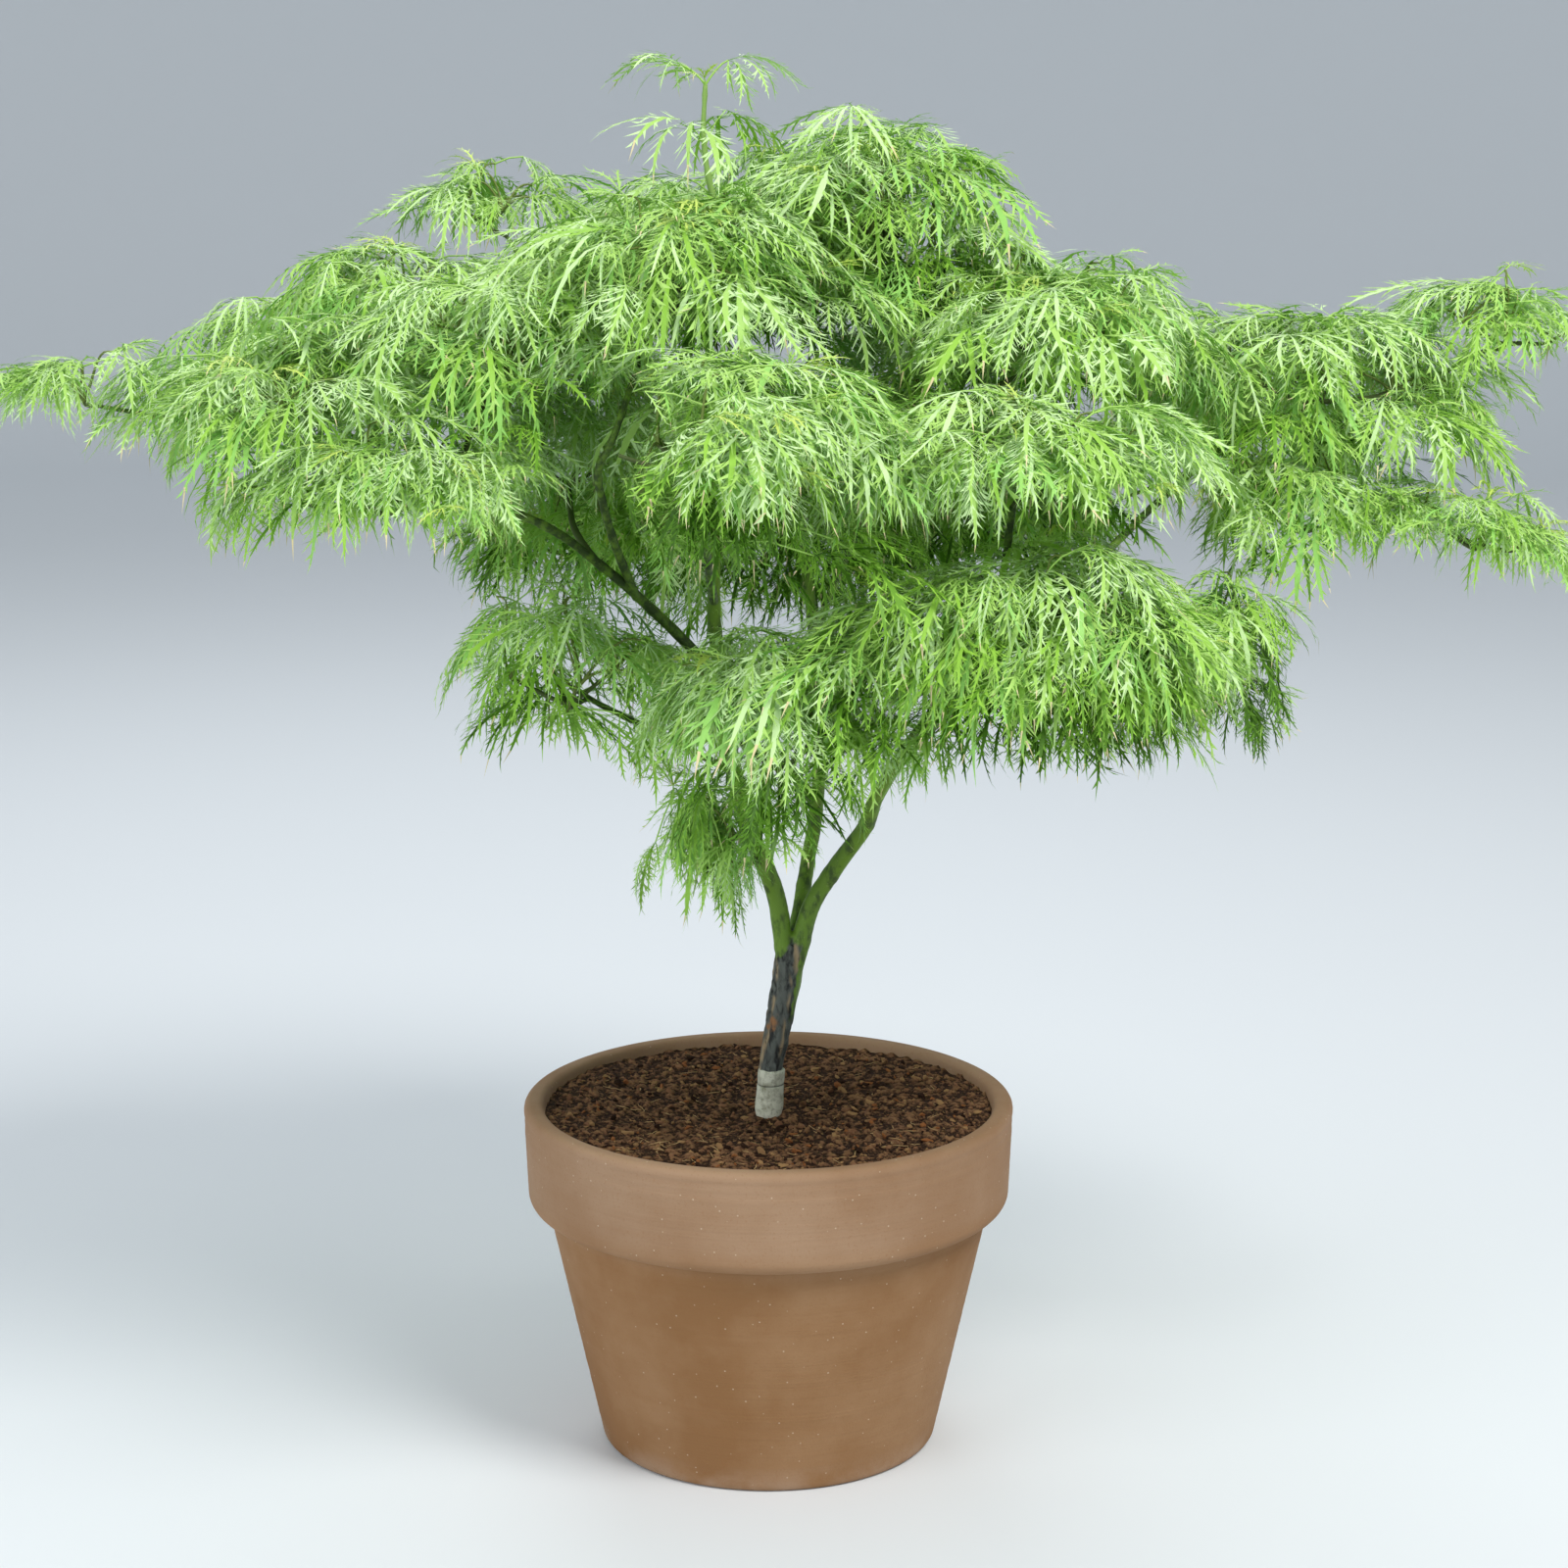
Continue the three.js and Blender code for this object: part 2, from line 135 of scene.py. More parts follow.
class MAPLE_PG_pot(bpy.types.PropertyGroup):
    height: length("Height", "From the underside to the top of the rim", 200)
    rim_radius: length("Rim radius", "Outside of the rim at its top", 140)
    rim_foot_radius: length("Rim foot radius", "Outside of the rim at its lower edge", 138)
    rim_depth: length("Rim depth", "Height of the rim band", 59)
    rounding: length("Rounding", "Radius of the rounded edges", 4)
    rim_foot_rounding: length("Rim foot rounding", "Radius of the rim band's lower edge", 7)
    mouth_radius: length("Mouth radius", "Inside of the rim", 128.5)
    shoulder_radius: length("Shoulder radius", "Outside of the wall under the rim", 127.5)
    base_radius: length("Base radius", "Outside of the wall at the foot", 97)
    floor: length("Floor", "Thickness of the pot's floor", 14)
    inner_floor_radius: length("Inner floor radius", "Inside of the wall at the floor", 86)
    drain_radius: length("Drain hole radius", "Radius of each hole in the floor", 7)
    drain_circle: length("Drain circle", "How far the holes are from the middle", 45)
    drain_count: IntProperty(name="Drain holes", description="How many holes", default=3, min=0)
    steps: IntProperty(name="Steps", description="Steps round the pot", default=128, min=16)
    clay: colour("Clay", "Fired clay", 142, 103, 66)
    bloom: colour("Bloom", "Paler film on the clay", 160, 124, 89)
    rim_film: colour("Rim film", "Chalky film on the rim band", 172, 145, 122)
    umber: colour("Umber", "Darker clay", 138, 95, 58)


class MAPLE_PG_compost(bpy.types.PropertyGroup):
    level: length("Level", "Height of the compost round the stem", 190)
    dish: length("Dish", "How much higher it lies along the wall", 5.2)
    crumb: length("Crumb", "Size of a typical crumb", 4)
    crumbs: IntProperty(name="Crumbs", description="Loose crumbs on top", default=1100, min=0)
    straws: IntProperty(name="Straws", description="Fibres on top", default=130, min=0)
    seed: IntProperty(name="Seed", description="Seed of the crumbs' places and shapes", default=5, min=1)
    # Dark colours some loose crumbs and random patches, and is painted shade in the bed's hollows.
    dark: colour("Dark", "Damp compost in the hollows", 48, 31, 21)
    brown: colour("Brown", "Compost", 128, 92, 66)
    # Dry colours some loose crumbs and the fibres, and is painted highlight on the bed's high crumbs.
    dry: colour("Dry", "Dry crumbs", 152, 118, 80)
    rust: colour("Rust", "Bits of bark in it", 138, 88, 52)
    straw: colour("Straw", "Pale fibres", 184, 152, 106)


class MAPLE_PG_wood(bpy.types.PropertyGroup):
    voxel: length("Voxel", "Fineness of the fused stem", 0.85)
    relief: length("Relief", "Depth of the old bark's flakes", 0.7)
    sleeve_lean: FloatProperty(name="Sleeve lean", description="How far the sleeve leans for its height",
                               default=0.07)
    old_bark_top: length("Old bark top", "Height at which the old bark gives way to green", 288)
    charcoal: colour("Charcoal", "Old bark in its hollows", 46, 47, 46)
    slate: colour("Slate", "Old bark", 96, 100, 94)
    tan: colour("Tan", "Old bark's flakes", 172, 150, 116)
    rust: colour("Rust", "Bare patch on the old bark", 152, 108, 72)
    green: colour("Green", "Young bark", 108, 142, 46)
    olive: colour("Olive", "Mottling of the young bark", 60, 78, 38)
    fresh_bark: colour("Fresh bark", "Bark of the topmost shoot", 146, 180, 96)
    sleeve: colour("Sleeve", "Pale sleeve over the graft", 218, 218, 198)
    sleeve_stain: colour("Sleeve stain", "Stains on the sleeve", 130, 128, 100)


class MAPLE_PG_leaves(bpy.types.PropertyGroup):
    seed: IntProperty(name="Seed", description="Seed of the branching rule", default=11)
    lobe: length("Lobe", "Length of a full leaf's middle lobe", 78)
    spacing: length("Spacing", "How far apart the shoots' tips are", 36)
    internode: length("Internode", "From one pair of leaves to the next", 24)
    stalk: length("Stalk", "Length of a leaf's stalk", 30)
    proud: length("Proud", "How far a leaf may stand out of its mass", 12)
    # From sunlit down to inner the leaf greens are partly their own varied tones and partly painted light and
    # shade: the darker ones go to leaves deep in the crown, the paler ones to leaves near its top.
    sunlit: colour("Sunlit", "Leaves in full light", 200, 232, 164)
    fresh: colour("Fresh", "Bright leaves", 170, 212, 106)
    middle: colour("Middle", "Leaves of the common green", 148, 198, 70)
    cool: colour("Cool", "Leaves of a cooler green", 150, 206, 100)
    shaded: colour("Shaded", "Leaves inside the crown", 106, 156, 42)
    inner: colour("Inner", "Leaves deep inside the crown", 72, 114, 24)
    young: colour("Young", "Leaves just unfolded", 196, 220, 104)
    tip: colour("Tip", "Dry tips of the lobes", 222, 208, 160)
    shoot: colour("Shoot", "This year's shoots", 112, 128, 60)
    twig: colour("Twig", "Older twigs", 78, 92, 50)


class MAPLE_PG_stage(bpy.types.PropertyGroup):
    floor_radius: FloatProperty(name="Floor radius", description="Out to the backdrop", unit="LENGTH",
                                default=7.0)
    wall: FloatProperty(name="Wall", description="Height of the backdrop", unit="LENGTH", default=3.2)
    camera_x: length("Camera across", "Where the camera stands, across", 8.9)
    camera_distance: length("Camera distance", "How far in front of the pot", 1800)
    camera_height: length("Camera height", "Height of the camera", 754)
    camera_pitch: FloatProperty(name="Camera pitch", description="How far the camera looks down",
                                subtype="ANGLE", default=math.radians(11.6367))
    lens: FloatProperty(name="Lens", description="Focal length in millimetres", default=75.0, min=1)
    floor_colour: colour("Floor", "Plain pale floor", 226, 230, 233)
    sky_colour: colour("Surround", "Even light all round", 218, 224, 230)


# ---------------------------------------------------------------- finishes


def new_material(name, base=(0.5, 0.5, 0.5), roughness=0.7, specular=0.3):
    material = bpy.data.materials.new(name)
    material.use_nodes = True
    shader = material.node_tree.nodes["Principled BSDF"]
    shader.inputs["Base Color"].default_value = (*base, 1)
    shader.inputs["Roughness"].default_value = roughness
    shader.inputs["Specular IOR Level"].default_value = specular
    material.diffuse_color = (*base, 1)
    return material, shader


class Nodes:
    """Short ways of adding the nodes of one material."""

    def __init__(self, material):
        self.tree = material.node_tree
        self.place = self.add("ShaderNodeTexCoord").outputs["Object"]

    def add(self, kind, **settings):
        node = self.tree.nodes.new(kind)
        for key, value in settings.items():
            setattr(node, key, value)
        return node

    def link(self, source, target):
        self.tree.links.new(source, target)

    def stretched(self, scale, turn=(0, 0, 0)):
        mapping = self.add("ShaderNodeMapping")
        mapping.inputs["Scale"].default_value = scale
        mapping.inputs["Rotation"].default_value = turn
        self.link(self.place, mapping.inputs["Vector"])
        return mapping.outputs["Vector"]

    def noise(self, scale, detail=4.0, roughness=0.55, vector=None, distortion=0.0):
        node = self.add("ShaderNodeTexNoise")
        for key, value in (("Scale", scale), ("Detail", detail), ("Roughness", roughness),
                           ("Distortion", distortion)):
            node.inputs[key].default_value = value
        self.link(vector or self.place, node.inputs["Vector"])
        return node.outputs["Fac"]

    def cells(self, scale):
        node = self.add("ShaderNodeTexVoronoi")
        node.inputs["Scale"].default_value = scale
        self.link(self.place, node.inputs["Vector"])
        return node.outputs["Distance"]

    def height(self):
        parts = self.add("ShaderNodeSeparateXYZ")
        self.link(self.place, parts.inputs["Vector"])
        return parts.outputs["Z"]

    def attribute(self, name):
        return self.add("ShaderNodeAttribute", attribute_name=name).outputs["Fac"]

    def span(self, value, low, high, to_low=0.0, to_high=1.0):
        node = self.add("ShaderNodeMapRange")
        for key, number in (("From Min", low), ("From Max", high), ("To Min", to_low), ("To Max", to_high)):
            node.inputs[key].default_value = number
        self.link(value, node.inputs["Value"])
        return node.outputs["Result"]

    def mix(self, factor, first, second, blend="MIX"):
        node = self.add("ShaderNodeMix", data_type="RGBA", blend_type=blend)
        if isinstance(factor, float):
            node.inputs["Factor"].default_value = factor
        else:
            self.link(factor, node.inputs["Factor"])
        for socket, value in ((node.inputs[6], first), (node.inputs[7], second)):
            if isinstance(value, bpy.types.NodeSocket):
                self.link(value, socket)
            else:
                socket.default_value = (*value, 1)
        return node.outputs[2]

    def maths(self, operation, first, second):
        node = self.add("ShaderNodeMath", operation=operation)
        for socket, value in zip(node.inputs, (first, second)):
            if isinstance(value, bpy.types.NodeSocket):
                self.link(value, socket)
            else:
                socket.default_value = value
        return node.outputs["Value"]

    def bump(self, height, strength, distance, before=None):
        node = self.add("ShaderNodeBump")
        node.inputs["Strength"].default_value = strength
        node.inputs["Distance"].default_value = distance
        self.link(height, node.inputs["Height"])
        if before:
            self.link(before, node.inputs["Normal"])
        return node.outputs["Normal"]


def terracotta(sizes):
    """Fired clay: turning lines, a paler bloom in clouds, fine grain and a few pale specks."""
    material, shader = new_material("terracotta", sizes.clay, 0.82, 0.25)
    n = Nodes(material)
    clouds = n.noise(9, 5, 0.6)
    streaks = n.noise(1, 3, 0.6, n.stretched((14, 14, 190)))
    grain = n.noise(650, 3, 0.6)
    lines = n.noise(1, 2, 0.5, n.stretched((2, 2, 520)))
    specks = n.cells(150)
    height = n.height()
    base = n.mix(n.span(clouds, 0.42, 0.68), sizes.clay, sizes.bloom)
    rim_foot = sizes.height - sizes.rim_depth
    on_rim = n.span(height, rim_foot - 9 * MM, rim_foot + 15 * MM, 0, 0.5)
    film = n.maths("MULTIPLY", on_rim, n.span(clouds, 0.3, 0.6, 0.55, 1))
    base = n.mix(film, base, sizes.rim_film)
    at_foot = n.span(height, 16 * MM, 2 * MM, 0, 1)
    worn = n.maths("MULTIPLY", at_foot, n.span(n.noise(38), 0.4, 0.6, 0, 0.6))
    base = n.mix(worn, base, sizes.rim_film)
    base = n.mix(n.span(streaks, 0.5, 0.8, 0, 0.16), base, sizes.umber)
    base = n.mix(n.span(grain, 0.56, 0.72, 0, 0.28), base, sizes.umber)
    base = n.mix(n.span(specks, 0.085, 0.04, 0, 0.55), base, tint(222, 204, 180))
    n.link(base, shader.inputs["Base Color"])
    n.link(n.span(clouds, 0.3, 0.7, 0.88, 0.74), shader.inputs["Roughness"])
    rough = n.bump(grain, 0.35, 0.0004)
    n.link(n.bump(lines, 0.4, 0.0005, rough), shader.inputs["Normal"])
    return material


def compost(sizes):
    """Crumbly compost: darker in its hollows as painted shade, paler on its crumbs as painted highlight, with
    rusty bits of bark.
    """
    material, shader = new_material("compost", sizes.brown, 0.95, 0.12)
    n = Nodes(material)
    patches = n.noise(30, 3, 0.6)
    crumbs = n.noise(300, 4, 0.7)
    fibres = n.noise(760, 3, 0.6, n.stretched((1, 0.35, 1), (0, 0, 0.7)))
    bits = n.cells(190)
    high = n.maths("ADD", n.attribute("crumb_height"), n.span(crumbs, 0.3, 0.7, -0.35, 0.35))
    # Painted shade and highlight: the bed is darker where it lies low and paler on its high, exposed crumbs.
    base = n.mix(n.span(high, 0.2, 0.55), sizes.dark, sizes.brown)
    base = n.mix(n.span(high, 0.55, 0.95, 0, 0.8), base, sizes.dry)
    base = n.mix(n.span(fibres, 0.58, 0.7, 0, 0.55), base, sizes.dry)
    base = n.mix(n.span(bits, 0.16, 0.05, 0, 0.7), base, sizes.rust)
    base = n.mix(n.span(patches, 0.5, 0.7, 0, 0.4), base, sizes.dark)
    n.link(base, shader.inputs["Base Color"])
    n.link(n.bump(fibres, 0.6, 0.001, n.bump(crumbs, 0.8, 0.0016)), shader.inputs["Normal"])
    return material


def stem_bark(sizes):
    """Dark flaky bark on the old stem, which turns into smooth mottled green on the limbs."""
    material, shader = new_material("stem_bark", sizes.green, 0.7, 0.3)
    n = Nodes(material)
    upright = n.stretched((1, 1, 0.34))
    flakes = n.noise(330, 4, 0.6, upright, 0.6)
    patches = n.noise(105, 3, 0.5, upright)
    mottle = n.noise(150, 4, 0.6, n.stretched((1, 1, 0.5)))
    freckles = n.cells(420)
    old = n.mix(n.span(flakes, 0.38, 0.58), sizes.charcoal, sizes.slate)
    old = n.mix(n.span(patches, 0.55, 0.63, 0, 0.8), old, sizes.tan)
    old = n.mix(n.attribute("stripe"), old, sizes.tan)
    old = n.mix(n.attribute("bare_patch"), old, sizes.rust)
    old = n.mix(n.span(flakes, 0.44, 0.36, 0, 0.85), old, sizes.charcoal)
    young = n.mix(n.span(mottle, 0.5, 0.64, 0, 0.85), sizes.green, sizes.olive)
    young = n.mix(n.span(freckles, 0.2, 0.08, 0, 0.4), young, tint(150, 166, 96))
    n.link(n.mix(n.attribute("old_bark"), young, old), shader.inputs["Base Color"])
    n.link(n.span(n.attribute("old_bark"), 0, 1, 0.55, 0.9), shader.inputs["Roughness"])
    fine = n.bump(flakes, 0.5, 0.0007)
    n.link(n.bump(mottle, 0.25, 0.0003, fine), shader.inputs["Normal"])
    return material


def bough_bark(sizes):
    """Green bark with olive mottling and small scars."""
    material, shader = new_material("bough_bark", sizes.green, 0.6, 0.3)
    n = Nodes(material)
    mottle = n.noise(170, 4, 0.6)
    freckles = n.cells(460)
    base = n.mix(n.span(mottle, 0.34, 0.58), sizes.green, sizes.olive)
    base = n.mix(n.span(freckles, 0.2, 0.08, 0, 0.4), base, tint(128, 134, 88))
    base = n.mix(n.span(n.height(), 660 * MM, 710 * MM), base, sizes.fresh_bark)
    n.link(base, shader.inputs["Base Color"])
    n.link(n.span(mottle, 0.3, 0.7, 0.5, 0.72), shader.inputs["Roughness"])
    n.link(n.bump(mottle, 0.3, 0.0004), shader.inputs["Normal"])
    return material


def sleeve_skin(sizes):
    """Chalky pale sleeve with stains and a dark line at its seam."""
    material, shader = new_material("sleeve_skin", sizes.sleeve, 0.8, 0.3)
    n = Nodes(material)
    stains = n.noise(170, 5, 0.65)
    pits = n.noise(700, 2, 0.5)
    base = n.mix(n.span(stains, 0.46, 0.68, 0, 0.8), sizes.sleeve, sizes.sleeve_stain)
    base = n.mix(n.span(pits, 0.6, 0.7, 0, 0.5), base, sizes.sleeve_stain)
    base = n.mix(n.attribute("seam"), base, tint(58, 58, 50))
    n.link(base, shader.inputs["Base Color"])
    n.link(n.span(stains, 0.3, 0.7, 0.72, 0.88), shader.inputs["Roughness"])
    n.link(n.bump(stains, 0.4, 0.0006), shader.inputs["Normal"])
    return material


# Sunlit to inner are painted light and shade as well as varied greens, dealt by depth in the crown; young and
# tip are the leaves' own colours.
LEAF_TONES = ("sunlit", "fresh", "middle", "cool", "shaded", "inner", "young", "tip")
LEAF_LOOKS = {}


def leaf_materials(sizes):
    """One plain colour for each tone of leaf, made once and shared by all the foliage."""
    if not LEAF_LOOKS:
        for tone in LEAF_TONES:
            LEAF_LOOKS[tone] = new_material("leaf_" + tone, getattr(sizes, tone), 0.52, 0.35)[0]
    return [LEAF_LOOKS[tone] for tone in LEAF_TONES]


# ---------------------------------------------------------------- making pieces


def finished(name, mesh, materials, nodes, smooth=True):
    """Puts a mesh in the scene as a piece that stands for some of the frame's nodes."""
    piece = bpy.data.objects.new(name, mesh)
    bpy.context.scene.collection.objects.link(piece)
    for material in materials:
        mesh.materials.append(material)
    if smooth:
        mesh.polygons.foreach_set("use_smooth", [True] * len(mesh.polygons))
    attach(piece, "root")
    if nodes:
        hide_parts(*nodes)
    return piece


def from_bmesh(name, bm):
    mesh = bpy.data.meshes.new(name)
    bm.to_mesh(mesh)
    bm.free()
    return mesh


def settled(name, piece):
    """The mesh of an object with its modifiers or bevel worked out; the object itself is removed."""
    bpy.context.view_layer.update()
    graph = bpy.context.evaluated_depsgraph_get()
    mesh = bpy.data.meshes.new_from_object(piece.evaluated_get(graph))
    mesh.name = name
    bpy.data.objects.remove(piece)
    return mesh


def turned(profile, steps):
    """A bmesh turned from (radius, height) points, which start on the axis, and end there if it is solid."""
    bm = bmesh.new()
    corners = [bm.verts.new((radius, 0, height)) for radius, height in profile]
    edges = [bm.edges.new(pair) for pair in zip(corners, corners[1:])]
    bmesh.ops.spin(bm, geom=corners + edges, axis=(0, 0, 1), cent=(0, 0, 0), steps=steps,
                   angle=2 * math.pi, use_merge=True)
    bmesh.ops.remove_doubles(bm, verts=bm.verts, dist=1e-6)
    bmesh.ops.recalc_face_normals(bm, faces=bm.faces)
    return bm


def rounded(centre, radius, start, end, steps=5):
    """Points of an arc in the (radius, height) plane, from one angle to another in degrees."""
    angles = [math.radians(start + (end - start) * i / steps) for i in range(steps + 1)]
    return [(centre[0] + radius * math.cos(a), centre[1] + radius * math.sin(a)) for a in angles]


def between(first, last, spacing, waver=0.0, seed=0.0):
    """Points along a straight wall, with slight turning lines if waver is given."""
    count = max(1, round(math.dist(first, last) / spacing))
    points = []
    for i in range(1, count):
        share = i / count
        radius = first[0] + (last[0] - first[0]) * share
        height = first[1] + (last[1] - first[1]) * share
        radius += waver * (noise.noise((seed, height * 160, 0)) + 0.6 * noise.noise((height * 520, seed, 3)))
        points.append((radius, height))
    return points


def smooth_route(points, step):
    """Points at about even steps along a smooth line through the given ones."""
    points = [Vector(p) for p in points]
    ends = [2 * points[0] - points[1], *points, 2 * points[-1] - points[-2]]
    out = [points[0].copy()]
    for a, b, c, d in zip(ends, ends[1:], ends[2:], ends[3:]):
        count = max(1, round((c - b).length / step))
        for i in range(1, count + 1):
            t = i / count
            out.append(0.5 * (2 * b + (c - a) * t + (2 * a - 5 * b + 4 * c - d) * t * t
                              + (3 * b - a - 3 * c + d) * t ** 3))
    return out


def ramp(value, low, high):
    """0 below low, 1 above high, and a smooth rise between."""
    share = min(1.0, max(0.0, (value - low) / (high - low)))
    return share * share * (3 - 2 * share)


def distances(points):
    """How far along its line each point is."""
    run = [0.0]
    for a, b in zip(points, points[1:]):
        run.append(run[-1] + (b - a).length)
    return run


def shares(points):
    """How far along its line each point is, from 0 to 1."""
    run = distances(points)
    return [r / run[-1] for r in run]


def partway(points, along, place):
    """The point at a distance along a line, and the way the line goes there."""
    i = min(len(points) - 1, max(1, int(np.searchsorted(along, place))))
    share = (place - along[i - 1]) / max(along[i] - along[i - 1], 1e-9)
    return points[i - 1].lerp(points[i], share), (points[i] - points[i - 1]).normalized()


def tubes(name, runs, roundness):
    """One mesh of capped tubes. A run is its points and the radius at each."""
    line = bpy.data.curves.new(name, "CURVE")
    line.dimensions = "3D"
    line.bevel_depth = 1.0
    line.bevel_resolution = roundness
    line.use_fill_caps = True
    for points, radii in runs:
        spline = line.splines.new("POLY")
        spline.points.add(len(points) - 1)
        spline.points.foreach_set("co", [x for p in points for x in (*p, 1)])
        spline.points.foreach_set("radius", radii)
    holder = bpy.data.objects.new(name, line)
    bpy.context.scene.collection.objects.link(holder)
    mesh = settled(name, holder)
    bpy.data.curves.remove(line)
    return mesh


# ---------------------------------------------------------------- pot


class MAPLE_OT_pot(bpy.types.Operator):
    """Turn the terracotta pot, with its rim band and drain holes"""

    bl_idname = "maple.pot"
    bl_label = "Build Pot"

    def execute(self, context):
        s = context.scene.maple_pot
        r = s.rounding
        rim_foot = s.height - s.rim_depth
        arris = 0.5 * r
        foot = rounded((s.base_radius - r, r), r, -90, -8)
        foot_r = s.rim_foot_rounding
        band_foot = rounded((s.rim_foot_radius - foot_r, rim_foot + foot_r), foot_r, -90, 0, 7)
        lip_out = rounded((s.rim_radius - r, s.height - r), r, 0, 90)
        lip_in = rounded((s.mouth_radius + r, s.height - r), r, 90, 180)
        tuck = (s.shoulder_radius - 0.2 * MM, rim_foot + 0.1 * MM)
        floor_out = (s.inner_floor_radius, s.floor)
        profile = [(0, 0), (0.5 * s.base_radius, 0)] + foot
        profile += between(foot[-1], tuck, 2.2 * MM, 0.16 * MM, 1.0) + [tuck]
        profile += [(s.shoulder_radius + arris, rim_foot)] + band_foot
        band = between(band_foot[-1], lip_out[0], 1.5 * MM, 0.14 * MM, 2.0)
        profile += [(radius - self.groove(s.height - z), z) for radius, z in band] + lip_out
        profile += lip_in + between(lip_in[-1], floor_out, 5 * MM, 0.1 * MM, 3.0)
        profile += [floor_out, (0.5 * s.inner_floor_radius, s.floor), (0, s.floor)]
        body = bpy.data.objects.new("pot_body", from_bmesh("pot_body", turned(profile, s.steps)))
        context.scene.collection.objects.link(body)
        drills = bmesh.new()
        for i in range(s.drain_count):
            around = math.pi / 2 + i * 2 * math.pi / s.drain_count
            spot = Vector((math.cos(around), math.sin(around), 0)) * s.drain_circle
            bmesh.ops.create_cone(drills, cap_ends=True, segments=28, radius1=s.drain_radius,
                                  radius2=s.drain_radius, depth=4 * s.floor,
                                  matrix=Matrix.Translation(spot))
        drill = bpy.data.objects.new("pot_drills", from_bmesh("pot_drills", drills))
        context.scene.collection.objects.link(drill)
        cut = body.modifiers.new("drain", "BOOLEAN")
        cut.operation, cut.solver, cut.object = "DIFFERENCE", "EXACT", drill
        mesh = settled("pot_turned", body)
        bpy.data.objects.remove(drill)
        finished("pot_turned", mesh, [terracotta(s)], ["pot"])
        mesh.set_sharp_from_angle(angle=math.radians(50))
        return {"FINISHED"}

    def groove(self, below_lip):
        """How deep the two fine turning grooves under the lip are at a distance below it."""
        depth = sum(math.exp(-((below_lip - at) / (1.3 * MM)) ** 2) for at in (7.5 * MM, 13 * MM))
        return 0.35 * MM * depth


# ---------------------------------------------------------------- compost


def compost_relief(x, y, crumb):
    """How far the compost stands above its level at a place, and how exposed that place is, 0 to 1."""
    here = Vector((x, y, 0))
    lumps = noise.noise(here / (7 * crumb)) * 0.4 * crumb
    warped = here + noise.noise_vector(here / (1.1 * crumb)) * 0.4 * crumb
    clods = max(0.0, 0.6 - noise.voronoi(warped / (1.6 * crumb))[0][0])
    specks = max(0.0, 0.55 - noise.voronoi(warped / (0.7 * crumb) + Vector((9, 4, 2)))[0][0])
    rough = noise.noise(here / (0.45 * crumb))
    rise = lumps + (clods + 0.55 * specks + 0.14 * rough) * crumb
    return rise, min(1.0, max(0.0, 0.1 + clods + 0.9 * specks + 0.25 * rough))


